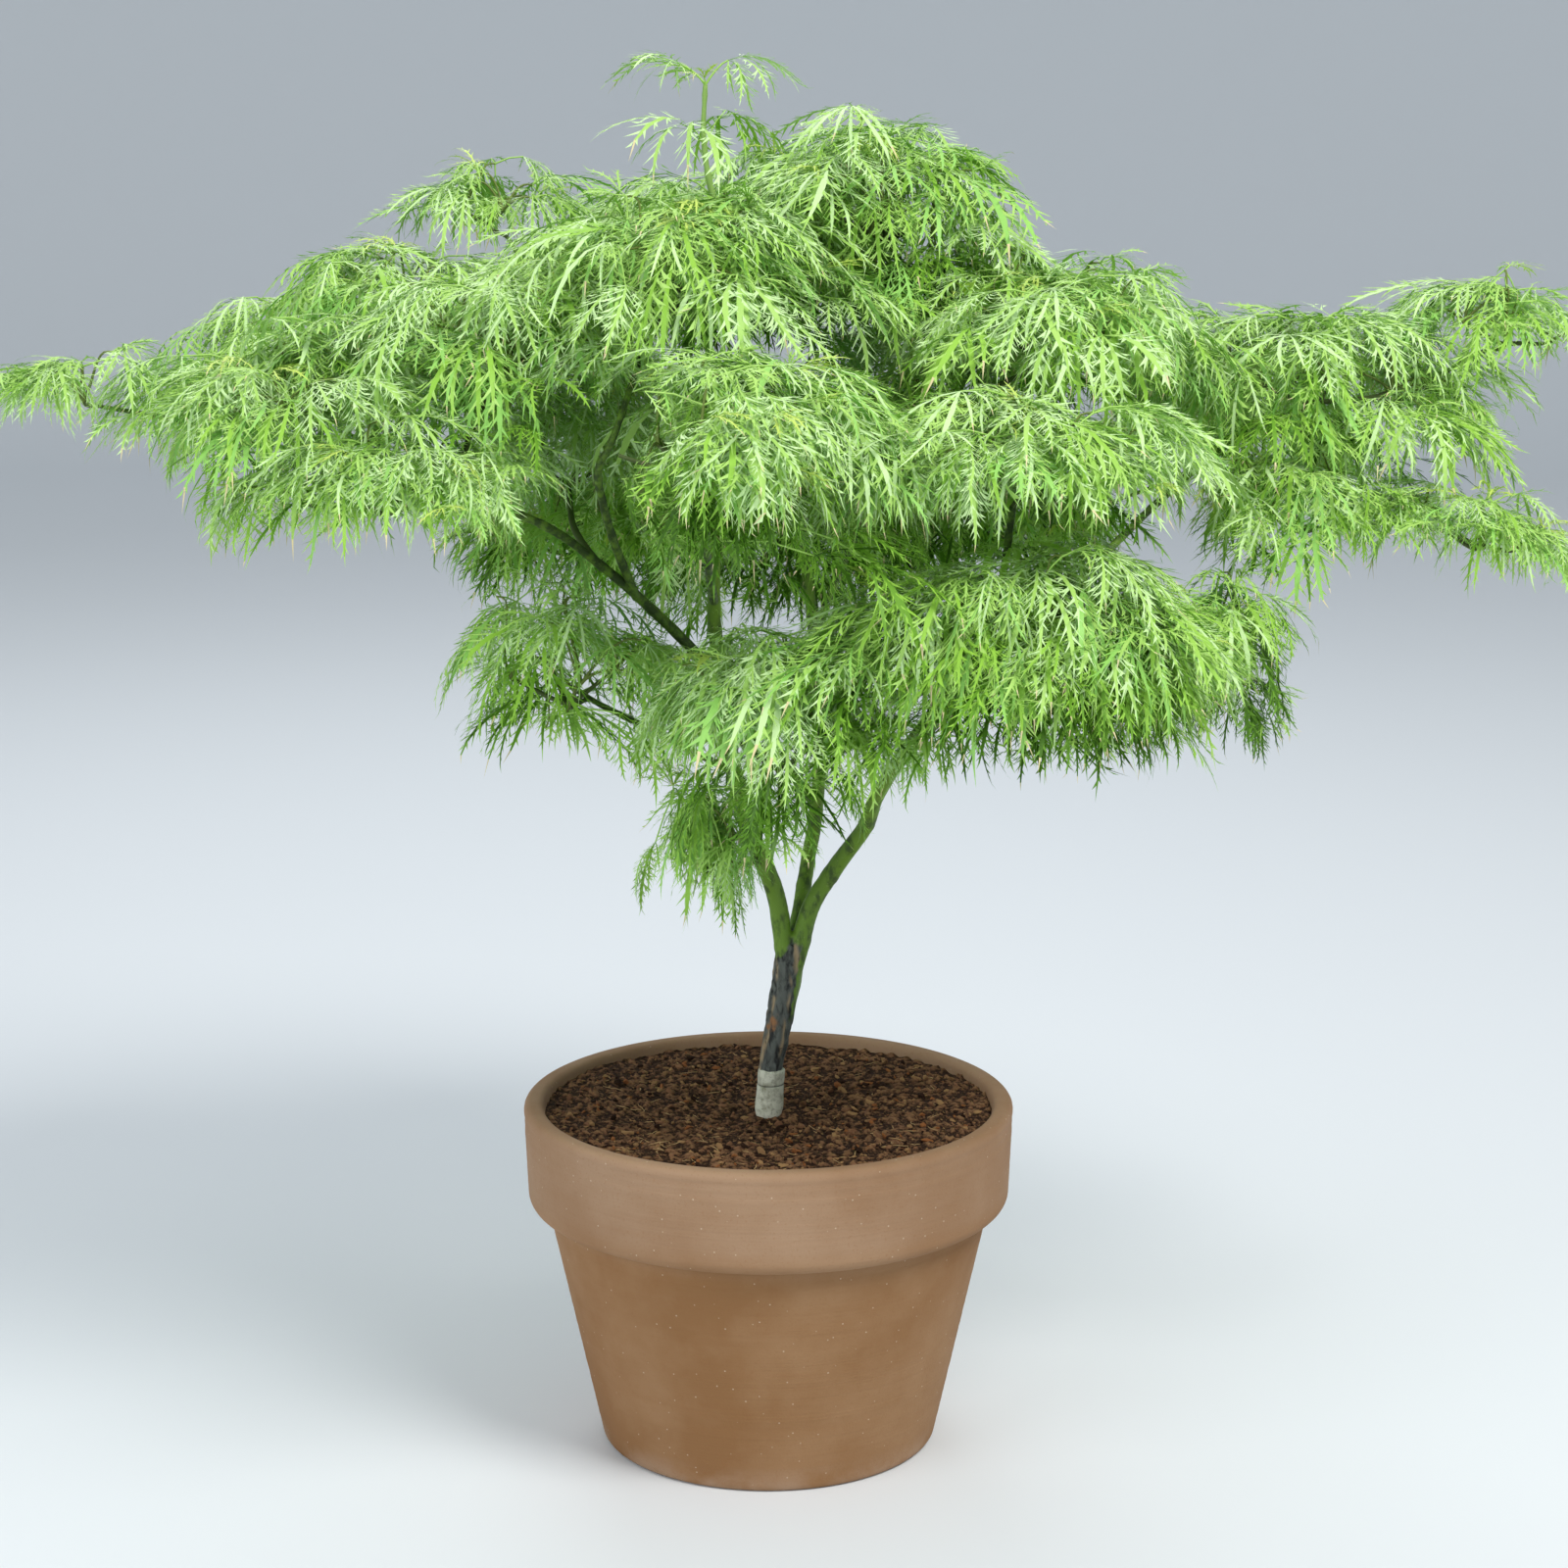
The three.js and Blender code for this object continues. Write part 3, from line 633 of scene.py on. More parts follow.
class MAPLE_OT_compost(bpy.types.Operator):
    """Fill the pot with crumbly compost"""

    bl_idname = "maple.compost"
    bl_label = "Build Compost"

    def execute(self, context):
        s, pot = context.scene.maple_compost, context.scene.maple_pot
        noise.seed_set(s.seed)  # otherwise noise_vector starts from the clock
        slope = (pot.mouth_radius - pot.inner_floor_radius) / (pot.height - pot.rounding - pot.floor)
        gap = 0.4 * MM
        self.edge = pot.inner_floor_radius + slope * (s.level + s.dish - pot.floor) - gap
        bottom = pot.floor + gap
        rings, steps = 96, 400
        profile = [(0, bottom), (pot.inner_floor_radius - gap, bottom)]
        profile += between(profile[-1], (self.edge, s.level + s.dish - 1.5 * MM), 30 * MM)
        flat = s.level + s.dish + 1.5 * MM
        profile += [(self.edge * (1 - (i / rings)), flat) for i in range(rings)] + [(0, flat)]
        bm = turned(profile, steps)
        # crumb_height holds how exposed each place of the top is, which sets the painted shade and highlight
        # of the compost's colour.
        layer = bm.verts.layers.float.new("crumb_height")
        for corner in bm.verts:
            if corner.co.z > flat - 0.2 * MM:
                corner.co.z, corner[layer] = self.surface(s, corner.co.x, corner.co.y)
        finished("compost_bed", from_bmesh("compost_bed", bm), [compost(s)], ["soil"])
        self.crumbs(s, random.Random(s.seed))
        self.straws(s, random.Random(s.seed + 1))
        return {"FINISHED"}

    def surface(self, s, x, y):
        """The height of the bed at a place, and how exposed it is: a shallow dish, highest at the wall."""
        out = math.hypot(x, y)
        rise, exposed = compost_relief(x, y, s.crumb)
        near_stem = max(0.0, 1 - out / (22 * MM))
        dish = s.dish * ramp(out, 20 * MM, self.edge)
        rise = (rise - 0.45 * s.crumb) * (1 - 0.6 * near_stem) + 0.4 * MM * near_stem
        return s.level + dish + rise, exposed

    def somewhere(self, rng, clear, margin):
        """A place on the bed, off the stem and off the wall."""
        out = math.sqrt(rng.uniform(clear ** 2, (self.edge - margin) ** 2))
        around = rng.uniform(0, 2 * math.pi)
        return out * math.cos(around), out * math.sin(around)

    def crumbs(self, s, rng):
        """Loose flattened crumbs lying on the bed."""
        names = ("dark", "brown", "dry", "rust")
        looks = [new_material("crumb_" + name, getattr(s, name), 0.95, 0.12)[0] for name in names]
        bm = bmesh.new()
        for _ in range(s.crumbs):
            x, y = self.somewhere(rng, 12 * MM, 5 * MM)
            size = s.crumb * rng.choice((0.22, 0.28, 0.28, 0.36, 0.36, 0.5, 0.66))
            place = Matrix.Translation((x, y, self.surface(s, x, y)[0] + 0.12 * size))
            turn = Matrix.Rotation(rng.uniform(0, 6.28), 4, Vector((rng.random(), rng.random(), 1.4)))
            scale = Matrix.Diagonal((rng.uniform(0.7, 1.7), rng.uniform(0.5, 1), rng.uniform(0.3, 0.65), 1))
            made = bmesh.ops.create_icosphere(bm, subdivisions=1, radius=size, matrix=place @ turn @ scale)
            look = rng.choice((0, 0, 1, 1, 1, 2, 2, 3))
            for corner in made["verts"]:
                corner.co += noise.noise_vector(corner.co * 1100) * 0.45 * size
                for face in corner.link_faces:
                    face.material_index = look
        finished("compost_crumbs", from_bmesh("compost_crumbs", bm), looks, [], smooth=False)

    def straws(self, s, rng):
        """Thin fibres lying on the bed."""
        runs = []
        for _ in range(s.straws):
            x, y = self.somewhere(rng, 20 * MM, 14 * MM)
            way, reach = rng.uniform(0, 2 * math.pi), rng.uniform(3, 12) * MM
            tilt = rng.uniform(-0.2, 0.2)
            bed = self.surface(s, x, y)[0]
            points = []
            for i in range(5):
                along = (i / 4 - 0.5) * reach
                bend = rng.uniform(-0.7, 0.7) * MM
                px, py = x + along * math.cos(way) - bend * math.sin(way), y + along * math.sin(way)
                points.append((px, py, bed + tilt * along + rng.uniform(0.2, 0.8) * MM))
            runs.append((points, [rng.uniform(0.14, 0.32) * MM * k for k in (0.5, 1, 1, 0.9, 0.4)]))
        straw = new_material("straw", s.straw, 0.85, 0.2)[0]
        finished("compost_straws", tubes("compost_straws", runs, 0), [straw], [])


# ---------------------------------------------------------------- stem and boughs


def stem_run():
    """The trunk's points and radii."""
    points = smooth_route([Vector(p) * MM for p in TRUNK_ROUTE], 2 * MM)
    radii = np.interp(shares(points), np.linspace(0, 1, len(TRUNK_RADII)), TRUNK_RADII) * MM
    return points, list(radii)


def wood_run(entry, step, swell=0.0, seed=0.0):
    """A limb's points and radii. swell is how far its old leaf scars stand out."""
    route, thick, thin = entry
    points = smooth_route([Vector(p) * MM for p in route], step)
    radii = []
    for run, share in zip(distances(points), shares(points)):
        scar = max(0.0, 1 - abs((run + seed) % SCAR_STEP - SCAR_PLACE) / SCAR_REACH)
        radii.append((thick + (thin - thick) * share) * MM + swell * scar)
    return points, radii


def limb_run(name, seed):
    """A limb's points and radii, with its start inside the trunk."""
    points, radii = wood_run(LIMBS[name], 2.5 * MM, 0.45 * MM, seed)
    places, thick = LEADS[name]
    lead = smooth_route([Vector(p) * MM for p in places] + [points[0]], 3 * MM)[:-1]
    swell = np.interp(shares(lead + [points[0]]), np.linspace(0, 1, len(thick) + 1),
                      [t * MM for t in thick] + [radii[0]])
    return lead + points, list(swell[:-1]) + radii


def stem_axis(height):
    """The middle of the trunk at a height."""
    heights = [z * MM for _, _, z in TRUNK_ROUTE]
    return Vector((float(np.interp(height, heights, [x * MM for x, _, _ in TRUNK_ROUTE])),
                   float(np.interp(height, heights, [y * MM for _, y, _ in TRUNK_ROUTE])), height))


class MAPLE_OT_stem(bpy.types.Operator):
    """Fuse the trunk and its three limbs, and raise the bark's relief"""

    bl_idname = "maple.stem"
    bl_label = "Build Stem and Limbs"

    def execute(self, context):
        s = context.scene.maple_wood
        runs = [stem_run()] + [limb_run(name, i * 0.013) for i, name in enumerate(LIMBS)]
        raw = bpy.data.objects.new("stem_raw", tubes("stem_raw", runs, 8))
        context.scene.collection.objects.link(raw)
        fuse = raw.modifiers.new("fuse", "REMESH")
        fuse.mode, fuse.voxel_size, fuse.adaptivity = "VOXEL", s.voxel, 0.0
        bm = bmesh.new()
        bm.from_mesh(settled("stem_fused", raw))
        for _ in range(5):
            bmesh.ops.smooth_vert(bm, verts=bm.verts, factor=0.5, use_axis_x=True, use_axis_y=True,
                                  use_axis_z=True)
        bm.normal_update()
        old_layer, stripe_layer, patch_layer = (bm.verts.layers.float.new(name) for name in
                                                ("old_bark", "stripe", "bare_patch"))
        for corner in bm.verts:
            here = corner.co.copy()
            away = here - stem_axis(here.z)
            ragged = noise.noise(here * 130) * 8 * MM + noise.noise(here * 420) * 3 * MM
            top = s.old_bark_top + 9 * MM * math.exp(-(away.x / (3 * MM)) ** 2)
            old = 1 - ramp(here.z + ragged, top - 4 * MM, top + 2 * MM)
            aside = away.x + 0.2 * away.y + noise.noise(here * 260) * 1.5 * MM
            green_side = ramp(aside, 4.2 * MM, 5.4 * MM)
            old *= 1 - green_side * ramp(here.z, GREEN_SIDE[0] * MM, GREEN_SIDE[1] * MM)
            corner[old_layer] = old
            upright = Vector((here.x, here.y, here.z * 0.35))
            corner[stripe_layer] = self.stripe(here, away, upright)
            patch = Vector((away.x - BARE_PATCH[0] * MM, 0, 0.7 * (here.z - BARE_PATCH[1] * MM))).length
            patch += noise.noise(here * 330) * 2.2 * MM
            corner[patch_layer] = 0.9 - 0.9 * ramp(patch, 1.8 * MM, 3.4 * MM) if away.y < 0 else 0.0
            plates = noise.voronoi(upright * 210)[0]
            crack = min(1.0, (plates[1] - plates[0]) * 3.2)
            ridges = noise.fractal(upright * 420, 1.0, 2.0, 3)
            rough = (crack - 0.7) * s.relief + ridges * 0.5 * s.relief
            skin = noise.noise(here * 300) * 0.12 * MM + noise.noise(here * 90) * 0.25 * MM
            corner.co += corner.normal * (rough * old + skin * (1 - old))
        mesh = from_bmesh("stem_and_limbs", bm)
        finished("stem_and_limbs", mesh, [stem_bark(s)], ["trunk", *LIMBS])
        self.sleeve(s)
        return {"FINISHED"}

    def stripe(self, here, away, upright):
        """The ragged pale stripes that run up the old bark, one on each side of its front."""
        broken = ramp(noise.noise(upright * 330), -0.15, 0.25)
        band = max(math.exp(-((away.x - at * MM + noise.noise(here * 90) * 2 * MM) / (0.9 * MM)) ** 2)
                   for at in STRIPES)
        return 0.85 * band * broken * ramp(here.z, STRIPES_START[0] * MM, STRIPES_START[1] * MM)

    def sleeve(self, s):
        """The pale sleeve over the graft, with its seam, leaning as the stem does."""
        profile = [(0, 189), (7.1, 189.1), (7.6, 190.6), (7.95, 193.5), (7.95, 198), (7.85, 203),
                   (7.75, 207.2), (7.65, 207.7), (7.2, 208.1), (7.5, 208.5), (7.6, 209.2), (7.7, 212),
                   (7.75, 215), (7.55, 216.3), (7.1, 217), (0, 217)]
        dense = []
        for first, last in zip(profile, profile[1:]):
            dense += [first] + between(first, last, 0.8)
        bm = turned([(r * MM, z * MM) for r, z in dense + [profile[-1]]], 72)
        layer = bm.verts.layers.float.new("seam")
        foot = TRUNK_ROUTE[0][2] * MM
        for corner in bm.verts:
            here = corner.co.copy()
            out = math.hypot(here.x, here.y)
            corner[layer] = max(0.0, 1 - abs(here.z - 208.1 * MM) / (0.5 * MM)) if out > 7 * MM else 0.0
            push = noise.noise(here * 130) * 0.4 * MM + noise.noise(here * 500) * 0.12 * MM
            if out > 5 * MM:
                corner.co += Vector((here.x, here.y, 0)) / out * push
                corner.co.z += noise.noise(here * 210) * 0.9 * MM * ramp(here.z, 214 * MM, 217 * MM)
            corner.co.x += (here.z - foot) * s.sleeve_lean
        finished("graft_sleeve", from_bmesh("graft_sleeve", bm), [sleeve_skin(s)],
                 ["graft_wrap"])


class MAPLE_OT_boughs(bpy.types.Operator):
    """Build the boughs and twigs that show below and between the leaves"""

    bl_idname = "maple.boughs"
    bl_label = "Build Boughs"

    def execute(self, context):
        s = context.scene.maple_wood
        runs = [wood_run(entry, 2.5 * MM, 0.35 * MM, i * 0.017) for i, entry in enumerate(BOUGHS.values())]
        bm = bmesh.new()
        bm.from_mesh(tubes("bough_wood", runs, 3))
        bmesh.ops.remove_doubles(bm, verts=bm.verts, dist=1e-6)
        bm.normal_update()
        for corner in bm.verts:
            skin = noise.noise(corner.co * 380) * 0.16 * MM + noise.noise(corner.co * 110) * 0.2 * MM
            corner.co += corner.normal * skin
        finished("bough_wood", from_bmesh("bough_wood", bm), [bough_bark(s)], [*BOUGHS])
        return {"FINISHED"}


# ---------------------------------------------------------------- one lobe of a leaf


# Each kind: where along the lobe its stations are, the half-width there, its lobules on one side as where
# they start, their reach and their angle, how many of those are forked, and how wide a lobule's foot is.
LOBE_KINDS = {
    "lacy": ([0, 0.16, 0.32, 0.48, 0.64, 0.80, 0.92],
             [0.006, 0.007, 0.011, 0.015, 0.016, 0.011, 0.006],
             [(0.14, 0.19, 34), (0.25, 0.25, 34), (0.37, 0.26, 33), (0.49, 0.225, 31), (0.60, 0.18, 29),
              (0.70, 0.13, 27), (0.79, 0.085, 23)], 5, 0.034),
    "ribbon": ([0, 0.18, 0.36, 0.54, 0.72, 0.88],
               [0.007, 0.010, 0.017, 0.021, 0.017, 0.008],
               [(0.19, 0.16, 33), (0.30, 0.20, 33), (0.41, 0.205, 32), (0.52, 0.175, 30), (0.64, 0.135, 28),
                (0.76, 0.09, 24)], 2, 0.038),
    "strap": ([0, 0.2, 0.42, 0.64, 0.84], [0.006, 0.013, 0.022, 0.018, 0.007],
              [(0.26, 0.12, 30), (0.42, 0.15, 30), (0.58, 0.12, 27), (0.72, 0.08, 24)], 0, 0.036),
    "broad": ([0, 0.2, 0.4, 0.6, 0.8], [0.007, 0.012, 0.022, 0.022, 0.011],
              [(0.20, 0.20, 36), (0.35, 0.23, 35), (0.50, 0.20, 33), (0.64, 0.15, 30), (0.76, 0.10, 26)], 3,
              0.048),
    "small": ([0, 0.3, 0.6, 0.85], [0.007, 0.015, 0.022, 0.010],
              [(0.26, 0.21, 34), (0.45, 0.19, 32), (0.65, 0.13, 27)], 0, 0.044),
}
PATTERNS = ("lacy", "lacy", "lacy", "ribbon", "ribbon", "strap", "broad", "small", "small")
# Which patterns are dealt to one leaf's lobes, and those of the young leaves and of a leaf's hindmost lobes.
STYLES = ((0, 1, 2), (0, 1, 6), (2, 3, 4), (3, 4, 5), (0, 2, 5), (6, 6, 4))
SMALL = (7, 8)
# A leaf's lobes: each one's angle from the middle lobe, and its share of that one's length.
FAN = ((0, 1.0), (20, 0.97), (-20, 0.97), (41, 0.88), (-41, 0.88), (64, 0.74), (-64, 0.74), (94, 0.5),
       (-94, 0.5))
# The stations along a lobe's middle line, and how much of its fall it has made at each.
SPINE = np.linspace(0, 1, 13)
EASE = 1 - (1 - SPINE) ** 1.5
HOOK_FROM = 0.7  # how far along a lobe its tip starts to hook
CAMBER = 2.2  # how much the edges of a lobe turn down
TIP_FROM = 0.8  # how far along a lobe the colour of its tip starts
# The side point of a forked lobule: how far along the lobule and beside it each corner is.
FORK = ((0.26, 0.02), (0.56, 0.02), (0.74, 0.19))
OFFSET = 0.04  # how much further along the lobules of the second side start


def lobe_pattern(rng, kind):
    """The flat outline of one lobe of unit length: a narrow blade with lobules that point forwards, the
    first few of them forked. Gives the corners, the faces, and which faces are tip (1) or lobule (2)."""
    stations, widths, lobules, forked, foot = LOBE_KINDS[kind]
    corners, faces, kinds = [], [], []
    for along, width in zip(stations, widths):
        wide = width * rng.uniform(0.88, 1.14)
        corners += [(along, wide), (along, -wide)]
    last = 2 * len(stations) - 2
    for i in range(0, last, 2):
        faces.append((i, i + 1, i + 3, i + 2))
        kinds.append(1 if stations[i // 2] > TIP_FROM else 0)
    corners.append((1.0, 0.0))
    faces.append((last, last + 1, last + 2))
    kinds.append(1)
    for side in (1, -1):
        for i, (along, reach, angle) in enumerate(lobules):
            at = along + (OFFSET if side < 0 else 0) + rng.uniform(-0.014, 0.014)
            edge = float(np.interp(at, stations, widths)) * 0.7
            reach *= rng.uniform(0.75, 1.25)
            lean = math.radians(angle * rng.uniform(0.75, 1.25))
            fore, out = math.cos(lean), math.sin(lean)
            start = len(corners)
            corners += [(at, side * edge), (at + foot, side * edge),
                        (at + fore * reach, side * (edge + out * reach))]
            faces.append((start, start + 1, start + 2))
            kinds.append(2)
            if i < forked:
                for share, beside in FORK:
                    corners.append((at + (fore * share - out * beside + 0.3 * foot) * reach,
                                    side * (edge + (out * share + fore * beside) * reach)))
                faces.append((start + 3, start + 4, start + 5))
                kinds.append(2)
    return np.array(corners), faces, np.array(kinds)


def spines(lobes):
    """The bent middle line of every lobe, with its sideways and upward directions at each station."""
    pitch = lobes["pitch"][:, None] + (lobes["fall"] - lobes["pitch"])[:, None] * EASE
    pitch = pitch + lobes["hook"][:, None] * np.clip((SPINE - HOOK_FROM) / 0.3, 0, 1) ** 2
    way = lobes["way"][:, None] + lobes["curl"][:, None] * SPINE ** 2
    ahead = np.stack([np.cos(pitch) * np.cos(way), np.cos(pitch) * np.sin(way), np.sin(pitch)], -1)
    step = lobes["reach"][:, None, None] / (len(SPINE) - 1)
    middle = 0.5 * (ahead[:, 1:] + ahead[:, :-1]) * step
    line = np.concatenate([np.zeros_like(middle[:, :1]), np.cumsum(middle, 1)], 1) + lobes["root"][:, None]
    flat = np.stack([-np.sin(way), np.cos(way), np.zeros_like(way)], -1)
    above = np.cross(ahead, flat)
    roll = (lobes["roll"][:, None] * (0.4 + 0.6 * SPINE))[..., None]
    return line, flat * np.cos(roll) + above * np.sin(roll), above * np.cos(roll) - flat * np.sin(roll)


def leaf_mesh(name, lobes, patterns):
    """All the lobes of one mass as one mesh."""
    line, side, above = spines(lobes)
    reach, fold = lobes["reach"], lobes["fold"]
    places, loops, totals, tones = [], [], [], []
    base = 0
    for index, (corners, faces, kinds) in enumerate(patterns):
        chosen = np.flatnonzero(lobes["pattern"] == index)
        if not len(chosen):
            continue
        spot = corners[:, 0].clip(0, 1) * (len(SPINE) - 1)
        lower = np.minimum(spot.astype(int), len(SPINE) - 2)
        share = (spot - lower)[None, :, None]
        middle, beside, over = (field[chosen][:, lower] * (1 - share) + field[chosen][:, lower + 1] * share
                                for field in (line, side, above))
        size = reach[chosen][:, None, None]
        across = corners[None, :, 1:2] * lobes["broad"][chosen][:, None, None]
        lift = np.abs(across) * fold[chosen][:, None, None] - across ** 2 * CAMBER
        places.append((middle + beside * across * size + over * lift * size).reshape(-1, 3))
        counts = np.array([len(face) for face in faces])
        flat_faces = np.array([corner for face in faces for corner in face])
        offsets = base + np.arange(len(chosen))[:, None] * len(corners)
        loops.append((offsets + flat_faces[None]).ravel())
        totals.append(np.tile(counts, len(chosen)))
        tone = np.repeat(lobes["tone"][chosen][:, None], len(faces), 1)
        # The lobules mostly take a paler tone than their blade: partly the leaves' pale margins, partly a
        # painted highlight.
        tone[:, kinds == 2] = lobes["edge_tone"][chosen][:, None]
        tone[:, kinds == 1] = lobes["tip_tone"][chosen][:, None]
        tones.append(tone.ravel())
        base += len(chosen) * len(corners)
    places, loops, totals, tones = (np.concatenate(x) for x in (places, loops, totals, tones))
    mesh = bpy.data.meshes.new(name)
    mesh.vertices.add(len(places))
    mesh.vertices.foreach_set("co", places.astype(np.float32).ravel())
    mesh.loops.add(len(loops))
    mesh.loops.foreach_set("vertex_index", loops.astype(np.int32))
    mesh.polygons.add(len(totals))
    mesh.polygons.foreach_set("loop_start", np.concatenate([[0], np.cumsum(totals)[:-1]]).astype(np.int32))
    mesh.polygons.foreach_set("loop_total", totals.astype(np.int32))
    mesh.polygons.foreach_set("material_index", tones.astype(np.int32))
    mesh.update(calc_edges=True)
    mesh.validate()
    return mesh


# ---------------------------------------------------------------- growing the crown


# Layers of shoots: how much wider they stand than the top ones, the thickness in millimetres that a mass
# needs for them, and how far down they are.
LAYERS = ((1.0, 14, 0), (1.15, 40, 0.36), (1.2, 60, 0.62), (1.2, 80, 0.86))
# How much wider the shoots stand in the thinner masses, and how much darker the painted shade on the leaves
# of some masses is, or how much lighter where it is below 0.
AIRY_MASSES = {"leaves_crest_left": 1.2, "leaves_shoulder_left": 1.2, "leaves_tip_right_up": 1.1,
               "leaves_low_left": 1.25, "leaves_drop_right": 1.1}
PAINTED_SHADE_BY_MASS = {"leaves_inner_left": -0.9, "leaves_centre_left": -0.25, "leaves_wing_left": -0.12,
               "leaves_low_left": 0.1, "leaves_tuft": 0.25, "leaves_leaf_right": 0.3,
               "leaves_drop_right": 0.35, "leaves_inner_right": 0.5, "leaves_inner_back": 0.5,
               "leaves_back_low_left": 0.5, "leaves_back_low_right": 0.5}
# How many degrees more steeply the leaves of some masses hang.
HANGING_MASSES = {"leaves_tuft": 45, "leaves_drop_right": 30, "leaves_low_front": 22, "leaves_low_left": 14}
SPIRE_MASSES = ("leaves_spire_foot", "leaves_spire_tip")  # from the foot up
SPIRE_STEP = 31 * MM  # from one pair of leaves on the leader to the next
# Where the wood shows in front of the leaves: a stretch from one place to another, and how far beside it
# no leaf hangs before it, in millimetres.
WINDOWS = (((-62, -16, 482), (-84, -34, 506), 12), ((-84, -34, 506), (-122, -52, 537), 11),
           ((-74, -24, 494), (-90, -66, 556), 12), ((-90, -66, 556), (-104, -74, 596), 10),
           ((-90, -66, 556), (-70, -78, 596), 10))
RISING = 0.22  # share of the top shoots that stand above their mass
MOST_PAIRS = 5  # pairs of leaves on one shoot
BARE_FOOT = 12 * MM  # length at the foot of a shoot that bears no leaves
# How a leaf is held, in degrees: how steeply it starts, how much less so at its mass's edge, and how far its
# lobes fall from there to their tips.
RISE, EDGE_DIP, DROOP = (-4, 24), 22, (36, 84)
LONGEST_PULL = 34  # how far, in millimetres, a leaf that would stand out of the crown is drawn back
FULL_LIGHT, DIMMING, LAYER_SHADE = 0.95, 55 * MM, 0.18  # painted light on top, the depth that takes 1 off it, and the painted shade that each layer adds
DRY_SHARE = 0.42  # share of the leaves that have dry tips
# How far out, as a share of a mass's half width, leaves may point back across its middle, and how many do.
MIDDLE, CROSSING = 0.5, 0.6
MIDDLE_SHOOTS = 2  # shoots that end over the middle of each mass
VIEW_SLOPE = 0.12  # how much a line from a window to the viewer rises for each unit forwards
VIEW_DEPTH = 1.75  # how far off the viewer is


def tree_of(names):
    """The surface of some of the frame's nodes, for measuring."""
    places, faces = [], []
    for name in names:
        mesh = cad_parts[name].data
        start = len(places)
        places += [v.co.copy() for v in mesh.vertices]
        faces += [[start + i for i in p.vertices] for p in mesh.polygons]
    return BVHTree.FromPolygons(places, faces)


class Mass:
    """One mass of leaves of the frame, as the room that its leaves fill."""

    def __init__(self, name):
        self.name = name
        self.surface = tree_of([name])
        self.low, self.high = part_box(name)
        self.middle = (self.low + self.high) / 2
        self.half = (self.high - self.low) / 2
        self.size = min(self.half.x, self.half.y)

    def span(self, x, y):
        """The lowest and highest point of the mass over a place, or None outside it."""
        top = self.surface.ray_cast((x, y, self.high.z + 0.05), (0, 0, -1))[0]
        low = self.surface.ray_cast((x, y, self.low.z - 0.05), (0, 0, 1))[0]
        return (low.z, top.z) if top and low else None


def bowed(start, heading, end, landing, count):
    """A smooth run from start, leaving along heading, to end, arriving along landing."""
    out = []
    for i in range(count + 1):
        t = i / count
        out.append(start * (2 * t ** 3 - 3 * t * t + 1) + heading * (t ** 3 - 2 * t * t + t)
                   + end * (3 * t * t - 2 * t ** 3) + landing * (t ** 3 - t * t))
    return out


def level(v):
    """A direction laid flat, or +X if it stands upright."""
    flat = Vector((v.x, v.y, 0))
    return flat.normalized() if flat.length > 1e-6 else Vector((1, 0, 0))


